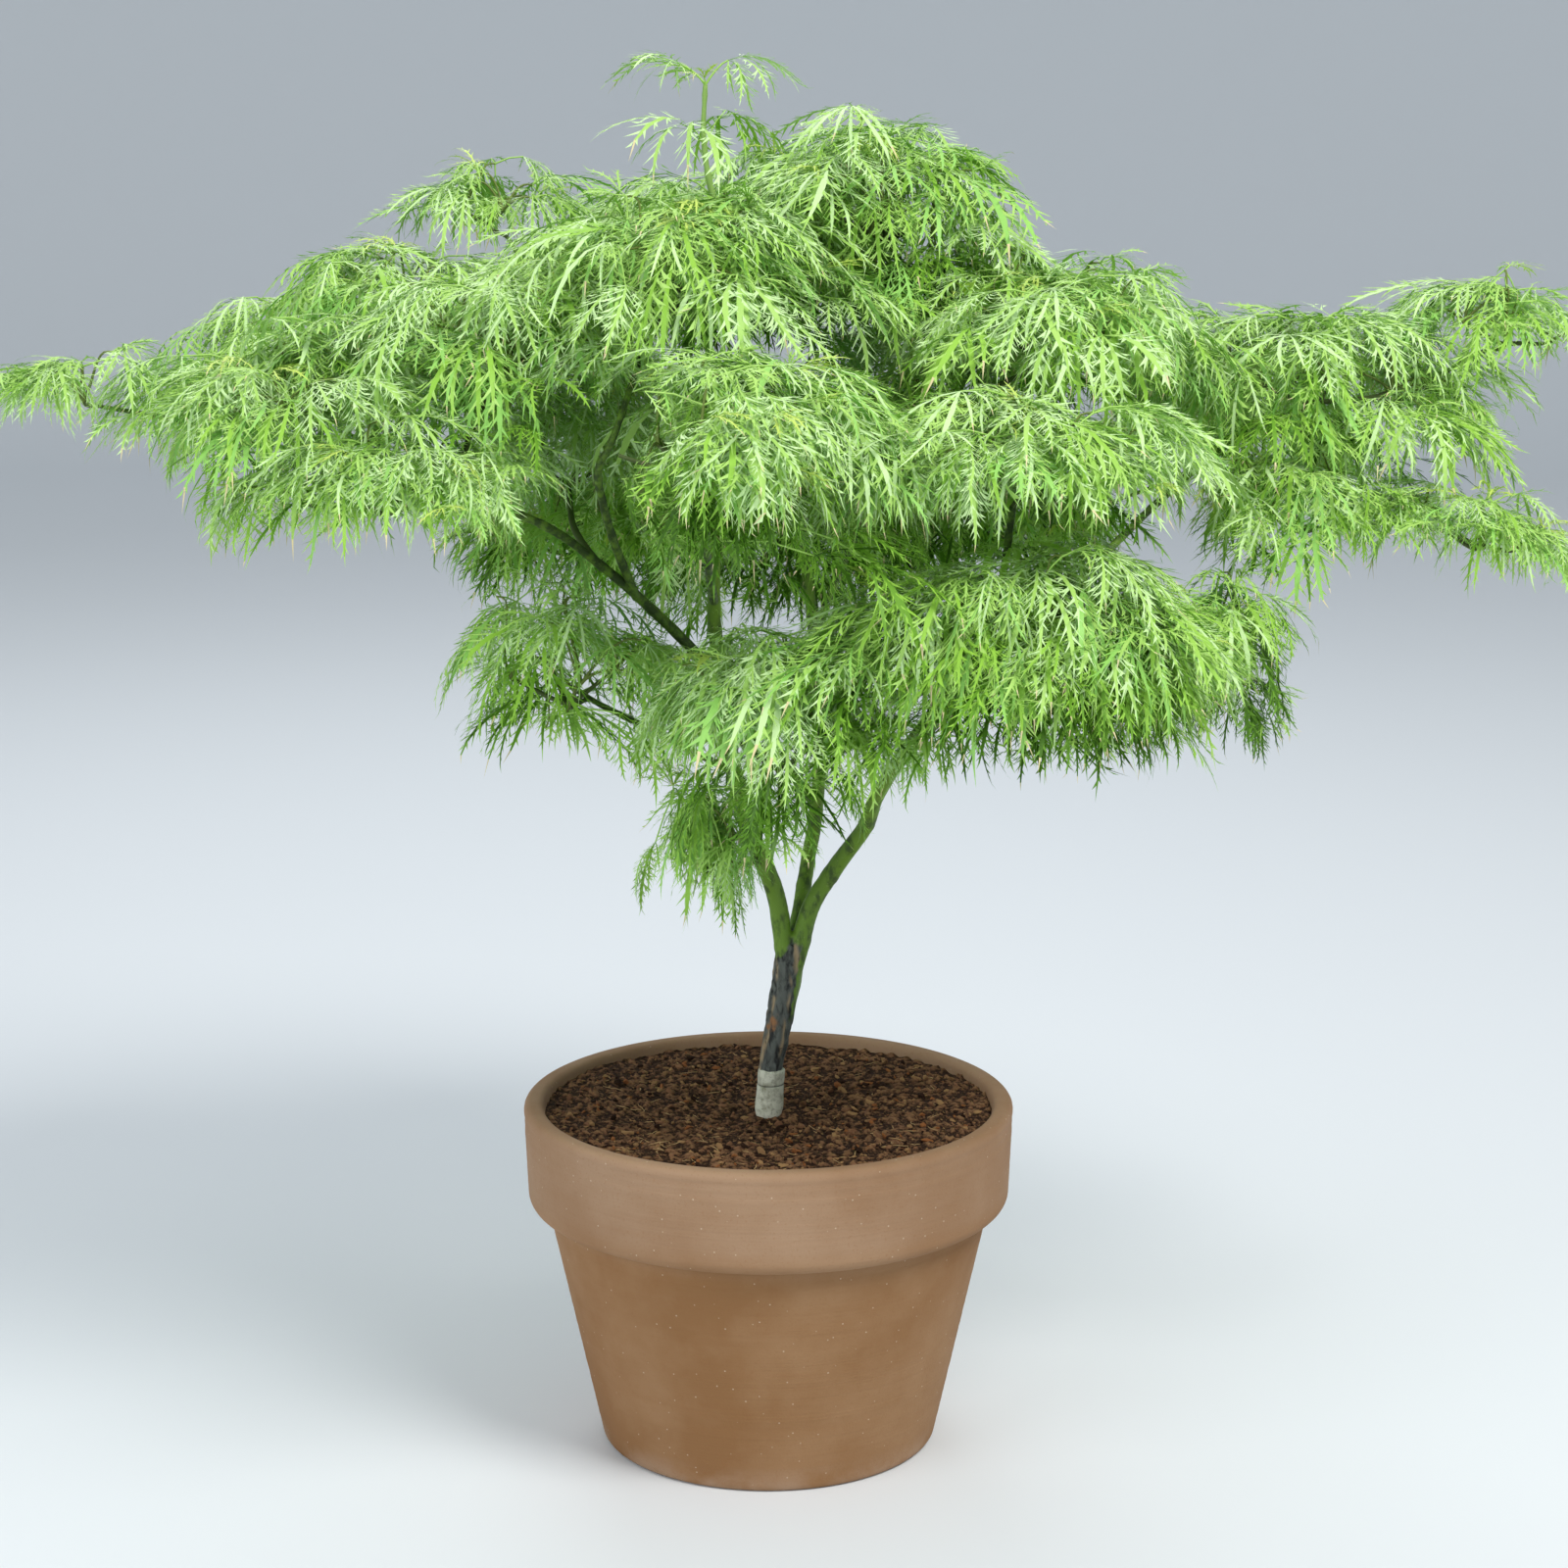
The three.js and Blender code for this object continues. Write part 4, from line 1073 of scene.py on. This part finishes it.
class Crown:
    """Grows branches, shoots and leaves from the boughs into the masses, by a seeded rule."""

    FIELDS = ("root", "way", "pitch", "fall", "hook", "curl", "roll", "reach", "broad", "fold", "pattern",
              "tone", "edge_tone", "tip_tone")

    def __init__(self, sizes):
        self.s = sizes
        self.room = tree_of(MASSES)
        self.branches, self.shoots, self.stalks = [], [], []
        self.wood = []
        for name, entry in {**LIMBS, **BOUGHS}.items():
            if name != "leader":
                self.note_wood(*wood_run(entry, 6 * MM))
        self.foliage = {}

    def note_wood(self, points, radii):
        """Remembers a run of wood, so that later branches can start from it."""
        for i, point in enumerate(points):
            ahead = points[min(i + 1, len(points) - 1)] - points[max(i - 1, 0)]
            self.wood.append((point, ahead.normalized(), radii[i]))

    def nearest_wood(self, target):
        """Where a branch to the target leaves the wood that is already there."""
        def cost(entry):
            point = entry[0]
            return (point - target).length + 1.5 * max(0.0, point.z - target.z + 0.01)
        return min(self.wood, key=cost)

    def outside(self, place):
        """How far a place is outside all the masses, and the nearest point on them."""
        near, normal, _, distance = self.room.find_nearest(place)
        return (distance if (place - near).dot(normal) > 0 else -distance), near

    def in_window(self, place):
        """Whether something at a place would hang in front of wood that shows."""
        for first, last, beside in WINDOWS:
            first, last = Vector(first) * MM, Vector(last) * MM
            forward = 0.5 * (first.y + last.y) - place.y
            if forward < -5 * MM:
                continue
            seen = Vector((place.x / (1 - forward / VIEW_DEPTH), 0, place.z - VIEW_SLOPE * forward))
            run = Vector((last.x - first.x, 0, last.z - first.z))
            from_first = seen - Vector((first.x, 0, first.z))
            share = min(1.0, max(0.0, from_first.dot(run) / run.length_squared))
            if (from_first - run * share).length < beside * MM:
                return True
        return False

    def grow(self, mass, rng):
        """Grows the branch of one mass, its shoots and their leaves."""
        self.lobes = {field: [] for field in self.FIELDS}
        hub, tips = self.plan(mass, rng)
        point, ahead, thick = self.nearest_wood(hub)
        way = hub - point
        if way.length > 3 * MM:
            heading = (ahead + way.normalized()).normalized() * way.length
            run = bowed(point, heading, hub, (level(way) * 0.5 + Vector((0, 0, 0.6))) * way.length, 10)
            radii = list(np.linspace(min(thick * 0.85, 2.2 * MM), 1.5 * MM, len(run)))
            self.branches.append((run, radii))
            self.note_wood(run, radii)
        hubs = self.fork(mass, hub, tips, rng)
        for tip, layer in tips:
            start, ahead = min(hubs, key=lambda h: (h[0] - tip).length)
            self.shoot(mass, start, ahead, tip, layer, rng)
        self.foliage[mass.name] = self.lobes

    def spire(self, masses, rng):
        """Grows the spire's leaves in opposite pairs along the leader, and its young ones at the top."""
        run, _ = wood_run(BOUGHS["leader"], 6 * MM)
        fields = {mass.name: {field: [] for field in self.FIELDS} for mass in masses}
        along = distances(run)
        back, rank = 0.0, 0
        while back < along[-1] + 2 * MM:
            node, _ = partway(run, along, along[-1] - back)
            mass = min(masses, key=lambda m: abs(m.middle.z - node.z))
            self.lobes = fields[mass.name]
            for turn in (0, math.pi):
                way = turn + (0.9 if rank else 0.2) + rng.uniform(-0.35, 0.35)
                flat = Vector((math.cos(way), math.sin(way), 0))
                out = rng.uniform(12, 18) * MM
                centre = node + flat * out + Vector((0, 0, rng.uniform(0.7, 1.1) * out))
                centre.z = min(centre.z, masses[-1].high.z - 3 * MM)
                lean = flat * out + Vector((0, 0, 0.2 * out))
                self.stalks.append((bowed(node, (flat * 0.6 + Vector((0, 0, 1))) * out, centre, lean, 4),
                                    [0.7 * MM, 0.62 * MM, 0.55 * MM, 0.5 * MM, 0.45 * MM]))
                tone, edge_tone = self.tones(mass, 0, 0.0, rng)
                full = self.s.lobe * (rng.uniform(0.95, 1.08) if back > 0 else rng.uniform(0.7, 0.8))
                self.place_leaf(centre, math.atan2(flat.y, flat.x), math.radians(rng.uniform(14, 40)),
                                full, math.radians(rng.uniform(84, 116)), tone, edge_tone, rng)
            rank = 1 - rank
            back += SPIRE_STEP * rng.uniform(0.85, 1.15)
        self.lobes = fields[masses[-1].name]
        self.tuft(run[-1], Vector((-0.3, 0, 1)).normalized(), 0, rng)
        for mass in masses:
            self.foliage[mass.name] = fields[mass.name]

    def plan(self, mass, rng):
        """The middle of a mass, and where its shoots should end: near the top, and lower down if deep."""
        s = self.s
        spans = mass.span(mass.middle.x, mass.middle.y)
        low, high = spans if spans else (mass.low.z, mass.high.z)
        hub = Vector((mass.middle.x, mass.middle.y, low + 0.4 * (high - low)))
        spacing = s.spacing * (0.8 if mass.size < 55 * MM else 1.0) * AIRY_MASSES.get(mass.name, 1.0)
        tips = []
        for layer, (widen, least, share) in enumerate(LAYERS):
            step = spacing * widen
            x = mass.low.x + 0.5 * step * rng.random()
            while x < mass.high.x:
                y = mass.low.y + step * rng.random()
                while y < mass.high.y:
                    px, py = x + rng.uniform(-0.3, 0.3) * step, y + rng.uniform(-0.3, 0.3) * step
                    spans = mass.span(px, py)
                    if spans and spans[1] - spans[0] > least * MM:
                        depth = 5 * MM if layer == 0 else share * (spans[1] - spans[0])
                        if layer == 0 and rng.random() < RISING:
                            depth = -rng.uniform(2, 14) * MM
                        tips.append((Vector((px, py, spans[1] - depth)), layer))
                    y += step
                x += step
        aside = 0.12 * mass.size
        for _ in range(MIDDLE_SHOOTS):
            tips.append((Vector((hub.x + rng.uniform(-aside, aside), hub.y + rng.uniform(-aside, aside),
                                 high - 4 * MM)), 0))
        return hub, tips

    def fork(self, mass, hub, tips, rng):
        """Splits a large mass's branch towards the parts of it. Gives where shoots start, and which way."""
        hubs = [(hub, Vector((0, 0, 1)))]
        count = min(6, len(tips) // 4)
        turn = rng.uniform(0, 2 * math.pi)
        for i in range(count):
            around = turn + 2 * math.pi * i / count + rng.uniform(-0.3, 0.3)
            x = hub.x + math.cos(around) * mass.half.x * rng.uniform(0.36, 0.5)
            y = hub.y + math.sin(around) * mass.half.y * rng.uniform(0.36, 0.5)
            spans = mass.span(x, y)
            if not spans:
                continue
            end = Vector((x, y, spans[0] + 0.55 * (spans[1] - spans[0])))
            way = end - hub
            run = bowed(hub, (level(way) + Vector((0, 0, 0.3))) * way.length, end,
                        (level(way) + Vector((0, 0, 0.4))) * way.length, 7)
            radii = list(np.linspace(1.45 * MM, 1.0 * MM, len(run)))
            self.branches.append((run, radii))
            self.note_wood(run, radii)
            hubs.append((end, (run[-1] - run[-2]).normalized()))
        return hubs

    def shoot(self, mass, start, ahead, tip, layer, rng):
        """One arching shoot with opposite pairs of leaves along it and young ones at its end."""
        s = self.s
        way = tip - start
        outward = (level(tip - mass.middle) + 0.6 * level(way)).normalized()
        reach = max(way.length, 18 * MM)
        run = bowed(start, (level(way) * 0.5 + Vector((0, 0, 0.7)) + 0.4 * ahead) * reach, tip,
                    (outward + Vector((0, 0, -0.35))) * reach, 9)
        for point in run[1:]:
            spans = mass.span(point.x, point.y)
            if spans:
                point.z = min(point.z, max(spans[1] - 3 * MM, tip.z))
        if any(self.in_window(point) for point in run[2:]):
            return
        thick = rng.uniform(0.85, 1.05) * MM
        self.shoots.append((run, list(np.linspace(thick, 0.5 * MM, len(run)))))
        along = distances(run)
        back, rank = 0.0, rng.choice((0, 1))
        for order in range(MOST_PAIRS):
            node, heading = partway(run, along, along[-1] - back)
            self.pair(mass, node, heading, rank, layer, order, rng)
            rank = 1 - rank
            back += s.internode * rng.uniform(0.85, 1.25)
            if back >= along[-1] - BARE_FOOT:
                break
        self.tuft(run[-1], (run[-1] - run[-2]).normalized(), layer, rng)

    def pair(self, mass, node, heading, rank, layer, order, rng):
        """Two leaves opposite each other on their stalks."""
        s = self.s
        side = level(heading.cross(Vector((0, 0, 1))))
        above = side.cross(heading)
        if above.z < 0:
            above = -above
        for sign in (1, -1):
            if rank == 0:
                lean = side * sign + above * rng.uniform(0.1, 0.5)
            else:
                lean = side * sign * rng.uniform(0.5, 0.9) + above * rng.uniform(0.1, 0.7)
            lean = (lean + heading * rng.uniform(0.3, 0.8)).normalized()
            stalk = s.stalk * rng.uniform(0.6, 1.15) * min(1.0, 0.6 + mass.size / (180 * MM))
            centre = node + lean * stalk
            full = s.lobe * min(1.0, 0.62 + 0.38 * mass.size / (80 * MM)) * rng.uniform(0.8, 1.12)
            if order == 0:
                full *= 0.86
            self.leaf(mass, node, centre, lean, full, layer, rng)

    def tuft(self, tip, heading, layer, rng):
        """The young leaves at a shoot's end."""
        for _ in range(rng.choice((1, 2, 2))):
            turn = rng.uniform(0, 2 * math.pi)
            lean = (heading + Vector((math.cos(turn), math.sin(turn), rng.uniform(0.1, 0.9)))).normalized()
            centre = tip + lean * rng.uniform(4, 9) * MM
            tone = "young" if layer == 0 and rng.random() < 0.2 else "fresh"
            self.place_leaf(centre, math.atan2(lean.y, lean.x), math.radians(rng.uniform(0, 45)),
                            self.s.lobe * rng.uniform(0.34, 0.5), math.radians(rng.uniform(35, 75)),
                            LEAF_TONES.index(tone), LEAF_TONES.index(tone), rng, young=True)
            self.stalks.append(([tip, centre], [0.4 * MM, 0.35 * MM]))

    def leaf(self, mass, node, centre, lean, full, layer, rng):
        """One full leaf, kept within reach of its mass."""
        s = self.s
        spans = mass.span(centre.x, centre.y)
        for _ in range(3):
            if spans:
                break
            centre = centre.lerp(node, 0.5)
            spans = mass.span(centre.x, centre.y)
        if spans:
            centre.z = min(centre.z, max(spans[1] - rng.uniform(1, 6) * MM, node.z + 4 * MM))
        out = level(centre - mass.middle)
        forward = (0.75 * level(lean) + 0.7 * out).normalized()
        edge = min(1.0, math.hypot(centre.x - mass.middle.x, centre.y - mass.middle.y) / mass.size)
        if edge < MIDDLE and rng.random() < CROSSING:
            forward = -forward
        droop = math.radians(rng.uniform(*DROOP))
        pitch = math.radians(rng.uniform(*RISE) - EDGE_DIP * edge - HANGING_MASSES.get(mass.name, 0))
        bundle = centre + forward * full * 0.66 + Vector((0, 0, -0.5 * full))
        beyond, near = self.outside(bundle)
        if beyond > s.proud:
            pull = (near - bundle) * (1 - s.proud / beyond)
            if pull.length > LONGEST_PULL * MM:
                pull = pull.normalized() * LONGEST_PULL * MM
            centre = centre + pull
            spans = mass.span(centre.x, centre.y)
            if spans:
                centre.z = min(centre.z, spans[1] - 1 * MM)
        if self.in_window(centre):
            return
        bend = node.lerp(centre, 0.5) + Vector((0, 0, 0.14 * (centre - node).length))
        self.stalks.append((bowed(node, 2 * (bend - node), centre, 2 * (centre - bend), 2),
                            [0.55 * MM, 0.47 * MM, 0.42 * MM]))
        # How deep the leaf sits in its mass, which sets how dark its painted shade is.
        inside = mass.surface.find_nearest(centre)[3]
        buried = min(spans[1] - centre.z, 20 * MM + 1.4 * inside) if spans else 0.0
        tone, edge_tone = self.tones(mass, layer, buried, rng)
        self.place_leaf(centre, math.atan2(forward.y, forward.x), pitch, full, droop, tone, edge_tone, rng)

    def tones(self, mass, layer, buried, rng):
        """The colours of a spray, as painted light and shade: lighter near the top of its mass, darker deep
        inside, with random variation. The second colour, for the lobules, is mostly a step paler: partly the
        pale margins of the leaves, partly a painted highlight.
        """
        light = FULL_LIGHT - buried / DIMMING + rng.uniform(-0.4, 0.4)
        light -= LAYER_SHADE * layer
        light -= PAINTED_SHADE_BY_MASS.get(mass.name, 0.0)
        if light > 0.9:
            names = ("sunlit", "fresh") if rng.random() < 0.5 else ("fresh", "sunlit")
        elif light > 0.45:
            names = rng.choice((("fresh", "sunlit"), ("middle", "fresh"), ("cool", "fresh")))
        elif light > 0.1:
            names = rng.choice((("middle", "fresh"), ("middle", "middle"), ("cool", "cool")))
        elif light > -0.3:
            names = ("shaded", "middle")
        else:
            names = ("inner", "shaded")
        return tuple(LEAF_TONES.index(name) for name in names)

    def place_leaf(self, centre, way, pitch, full, droop, tone, edge_tone, rng, young=False):
        """Seven to nine lobes round one point."""
        spread = rng.uniform(0.88, 1.1) * (0.8 if young else 1.0)
        tip_dry = rng.random() < DRY_SHARE
        style = rng.choice(STYLES)
        for angle, share in FAN:
            if abs(angle) > 90 and (young or rng.random() < 0.3):
                continue
            turn = math.radians(angle * spread + rng.uniform(-8, 8))
            start = pitch * math.cos(turn) + math.radians(rng.uniform(-11, 15))
            fall = max(math.radians(-88), start - droop * rng.uniform(0.75, 1.2))
            plain = abs(angle) > 80 or young
            lobe = {
                "root": tuple(centre), "way": way + turn, "pitch": start, "fall": fall,
                "hook": math.radians(rng.gauss(-4, 42)), "curl": math.radians(rng.gauss(0, 32)),
                "roll": rng.uniform(-0.7, 0.7), "reach": full * share * rng.uniform(0.9, 1.08),
                "broad": rng.uniform(0.8, 1.12) * (1.25 if young else 1.0), "fold": rng.uniform(0.15, 0.6),
                "pattern": rng.choice(SMALL if plain else style), "tone": tone, "edge_tone": edge_tone,
                "tip_tone": LEAF_TONES.index("tip") if tip_dry and rng.random() < 0.6 else edge_tone,
            }
            for field, value in lobe.items():
                self.lobes[field].append(value)

    def trimmed(self, lobes):
        """Drops the lobes that hang before a window, and shortens, each by its own amount, those that reach
        too far out of the crown."""
        rng = random.Random(self.s.seed + 99)  # its own draws, whatever has grown before
        lobes = {field: np.array(values, float) for field, values in lobes.items()}
        line = spines(lobes)[0]
        kept = [not any(self.in_window(Vector(place)) for place in run[3::3]) for run in line]
        lobes = {field: values[kept] for field, values in lobes.items()}
        line = line[kept]
        for i, tip in enumerate(line[:, -1]):
            allowed = self.s.proud * rng.uniform(0.3, 1.5)
            beyond, _ = self.outside(Vector(tip))
            if beyond > allowed:
                lobes["reach"][i] *= max(0.5, 1 - 0.9 * (beyond - allowed) / lobes["reach"][i])
        return lobes


class MAPLE_OT_foliage(bpy.types.Operator):
    """Grow the branches, shoots and leaves from the boughs"""

    bl_idname = "maple.foliage"
    bl_label = "Grow Foliage"

    def execute(self, context):
        s = context.scene.maple_leaves
        crown = Crown(s)
        masses = sorted((Mass(name) for name in MASSES),
                        key=lambda m: min((w[0] - m.middle).length for w in crown.wood))
        for mass in masses:
            if mass.name not in SPIRE_MASSES:
                crown.grow(mass, random.Random(s.seed * 1000 + MASSES.index(mass.name)))
        crown.spire([mass for name in SPIRE_MASSES for mass in masses if mass.name == name],
                    random.Random(s.seed * 1000 - 1))
        for name in ("leader", "twig_crest_left", "twig_tip_left", "twig_tip_right_up",
                     "twig_tip_right_low", "twig_drop_right"):
            self.join_twig(crown, name)
        shape = random.Random(s.seed)
        patterns = [lobe_pattern(shape, kind) for kind in PATTERNS]
        for mass in masses:
            lobes = crown.trimmed(crown.foliage[mass.name])
            mesh = leaf_mesh("foliage_" + mass.name[7:], lobes, patterns)
            finished(mesh.name, mesh, leaf_materials(s), [mass.name])
        twig = new_material("twig", s.twig, 0.7, 0.25)[0]
        shoot = new_material("shoot", s.shoot, 0.6, 0.3)[0]
        stalk = new_material("leaf_stalk", s.fresh, 0.55, 0.3)[0]
        finished("branches", tubes("branches", crown.branches, 2), [twig], [])
        finished("shoots", tubes("shoots", crown.shoots, 0), [shoot], [])
        finished("leaf_stalks", tubes("leaf_stalks", crown.stalks, 0), [stalk], [])
        return {"FINISHED"}

    def join_twig(self, crown, name):
        """Leads a branch from the wood in a mass to a twig that starts inside it."""
        route, thick, _ = BOUGHS[name]
        start, following = Vector(route[0]) * MM, Vector(route[1]) * MM
        ahead = (following - start).normalized()
        others = [w for w in crown.wood if (w[0] - start).dot(ahead) < -4 * MM]
        point, heading, radius = min(others, key=lambda w: (w[0] - start).length)
        way = start - point
        run = bowed(point, (heading + way.normalized()) * way.length, start, ahead * way.length, 8)
        crown.branches.append((run, list(np.linspace(min(radius, thick * MM), thick * MM, len(run)))))


# ---------------------------------------------------------------- stage


# The lamps: place, size, power in watts, and tone.
LAMPS = {
    "key": ((1.3, -1.5, 2.7), 1.3, 70, (1.0, 0.985, 0.95)),
    "fill": ((-1.9, -1.6, 1.1), 1.8, 23, (0.93, 0.97, 1.0)),
    "back": ((-0.4, 2.0, 2.4), 1.6, 20, (0.95, 0.98, 1.0)),
}
SURROUND = 0.68  # strength of the even light
AIM = Vector((0, 0, 0.4))  # where the lamps point


class MAPLE_OT_stage(bpy.types.Operator):
    """Lay the floor, and set the lights and the camera"""

    bl_idname = "maple.stage"
    bl_label = "Set Stage"

    def execute(self, context):
        s = context.scene.maple_stage
        bend = 1.6
        profile = [(0, 0), (s.floor_radius - bend, 0)]
        profile += rounded((s.floor_radius - bend, bend), bend, -90, 0, 16) + [(s.floor_radius, s.wall)]
        mesh = from_bmesh("floor", turned(profile, 96))
        mesh.polygons.foreach_set("use_smooth", [True] * len(mesh.polygons))
        floor = bpy.data.objects.new("floor", mesh)
        context.scene.collection.objects.link(floor)
        mesh.materials.append(new_material("floor", s.floor_colour, 0.7, 0.2)[0])
        world = bpy.data.worlds.new("surround")
        context.scene.world = world
        world.use_nodes = True
        light = world.node_tree.nodes["Background"]
        light.inputs["Color"].default_value = (*s.sky_colour, 1)
        light.inputs["Strength"].default_value = SURROUND
        for name, lamp in LAMPS.items():
            self.lamp(context, name, *lamp)
        camera = bpy.data.cameras.new("camera")
        camera.lens, camera.sensor_width = s.lens, 36
        camera.clip_start, camera.clip_end = 0.05, 60
        holder = bpy.data.objects.new("camera", camera)
        context.scene.collection.objects.link(holder)
        holder.location = (s.camera_x, -s.camera_distance, s.camera_height)
        holder.rotation_euler = (math.pi / 2 - s.camera_pitch, 0, 0)
        context.scene.camera = holder
        context.scene.view_settings.view_transform = "Standard"
        return {"FINISHED"}

    def lamp(self, context, name, place, size, power, tone):
        light = bpy.data.lights.new(name, "AREA")
        light.shape, light.size, light.energy, light.color = "DISK", size, power, tone
        holder = bpy.data.objects.new(name, light)
        context.scene.collection.objects.link(holder)
        holder.location = place
        holder.rotation_euler = (AIM - Vector(place)).to_track_quat("-Z", "Y").to_euler()


# ---------------------------------------------------------------- add-on


BUILDERS = (MAPLE_OT_pot, MAPLE_OT_compost, MAPLE_OT_stem, MAPLE_OT_boughs, MAPLE_OT_foliage, MAPLE_OT_stage)
GROUPS = {"maple_pot": MAPLE_PG_pot, "maple_compost": MAPLE_PG_compost, "maple_wood": MAPLE_PG_wood,
          "maple_leaves": MAPLE_PG_leaves, "maple_stage": MAPLE_PG_stage}


class MAPLE_PT_panel(bpy.types.Panel):
    """Lists the sizes and the builders"""

    bl_idname = "MAPLE_PT_panel"
    bl_label = "Potted Laceleaf Maple"
    bl_space_type = "VIEW_3D"
    bl_region_type = "UI"
    bl_category = "Maple"

    def draw(self, context):
        for name, group in GROUPS.items():
            box = self.layout.box()
            box.label(text=name.split("_")[1].capitalize())
            for key in group.__annotations__:
                box.prop(getattr(context.scene, name), key)
        for builder in BUILDERS:
            self.layout.operator(builder.bl_idname)


def register():
    for kind in (*GROUPS.values(), *BUILDERS, MAPLE_PT_panel):
        bpy.utils.register_class(kind)
    for name, group in GROUPS.items():
        setattr(bpy.types.Scene, name, PointerProperty(type=group))


def unregister():
    for name in GROUPS:
        delattr(bpy.types.Scene, name)
    for kind in reversed((*GROUPS.values(), *BUILDERS, MAPLE_PT_panel)):
        bpy.utils.unregister_class(kind)


def main():
    register()
    bpy.ops.maple.pot()
    bpy.ops.maple.compost()
    bpy.ops.maple.stem()
    bpy.ops.maple.boughs()
    bpy.ops.maple.foliage()
    bpy.ops.maple.stage()


if __name__ == "__main__":
    main()
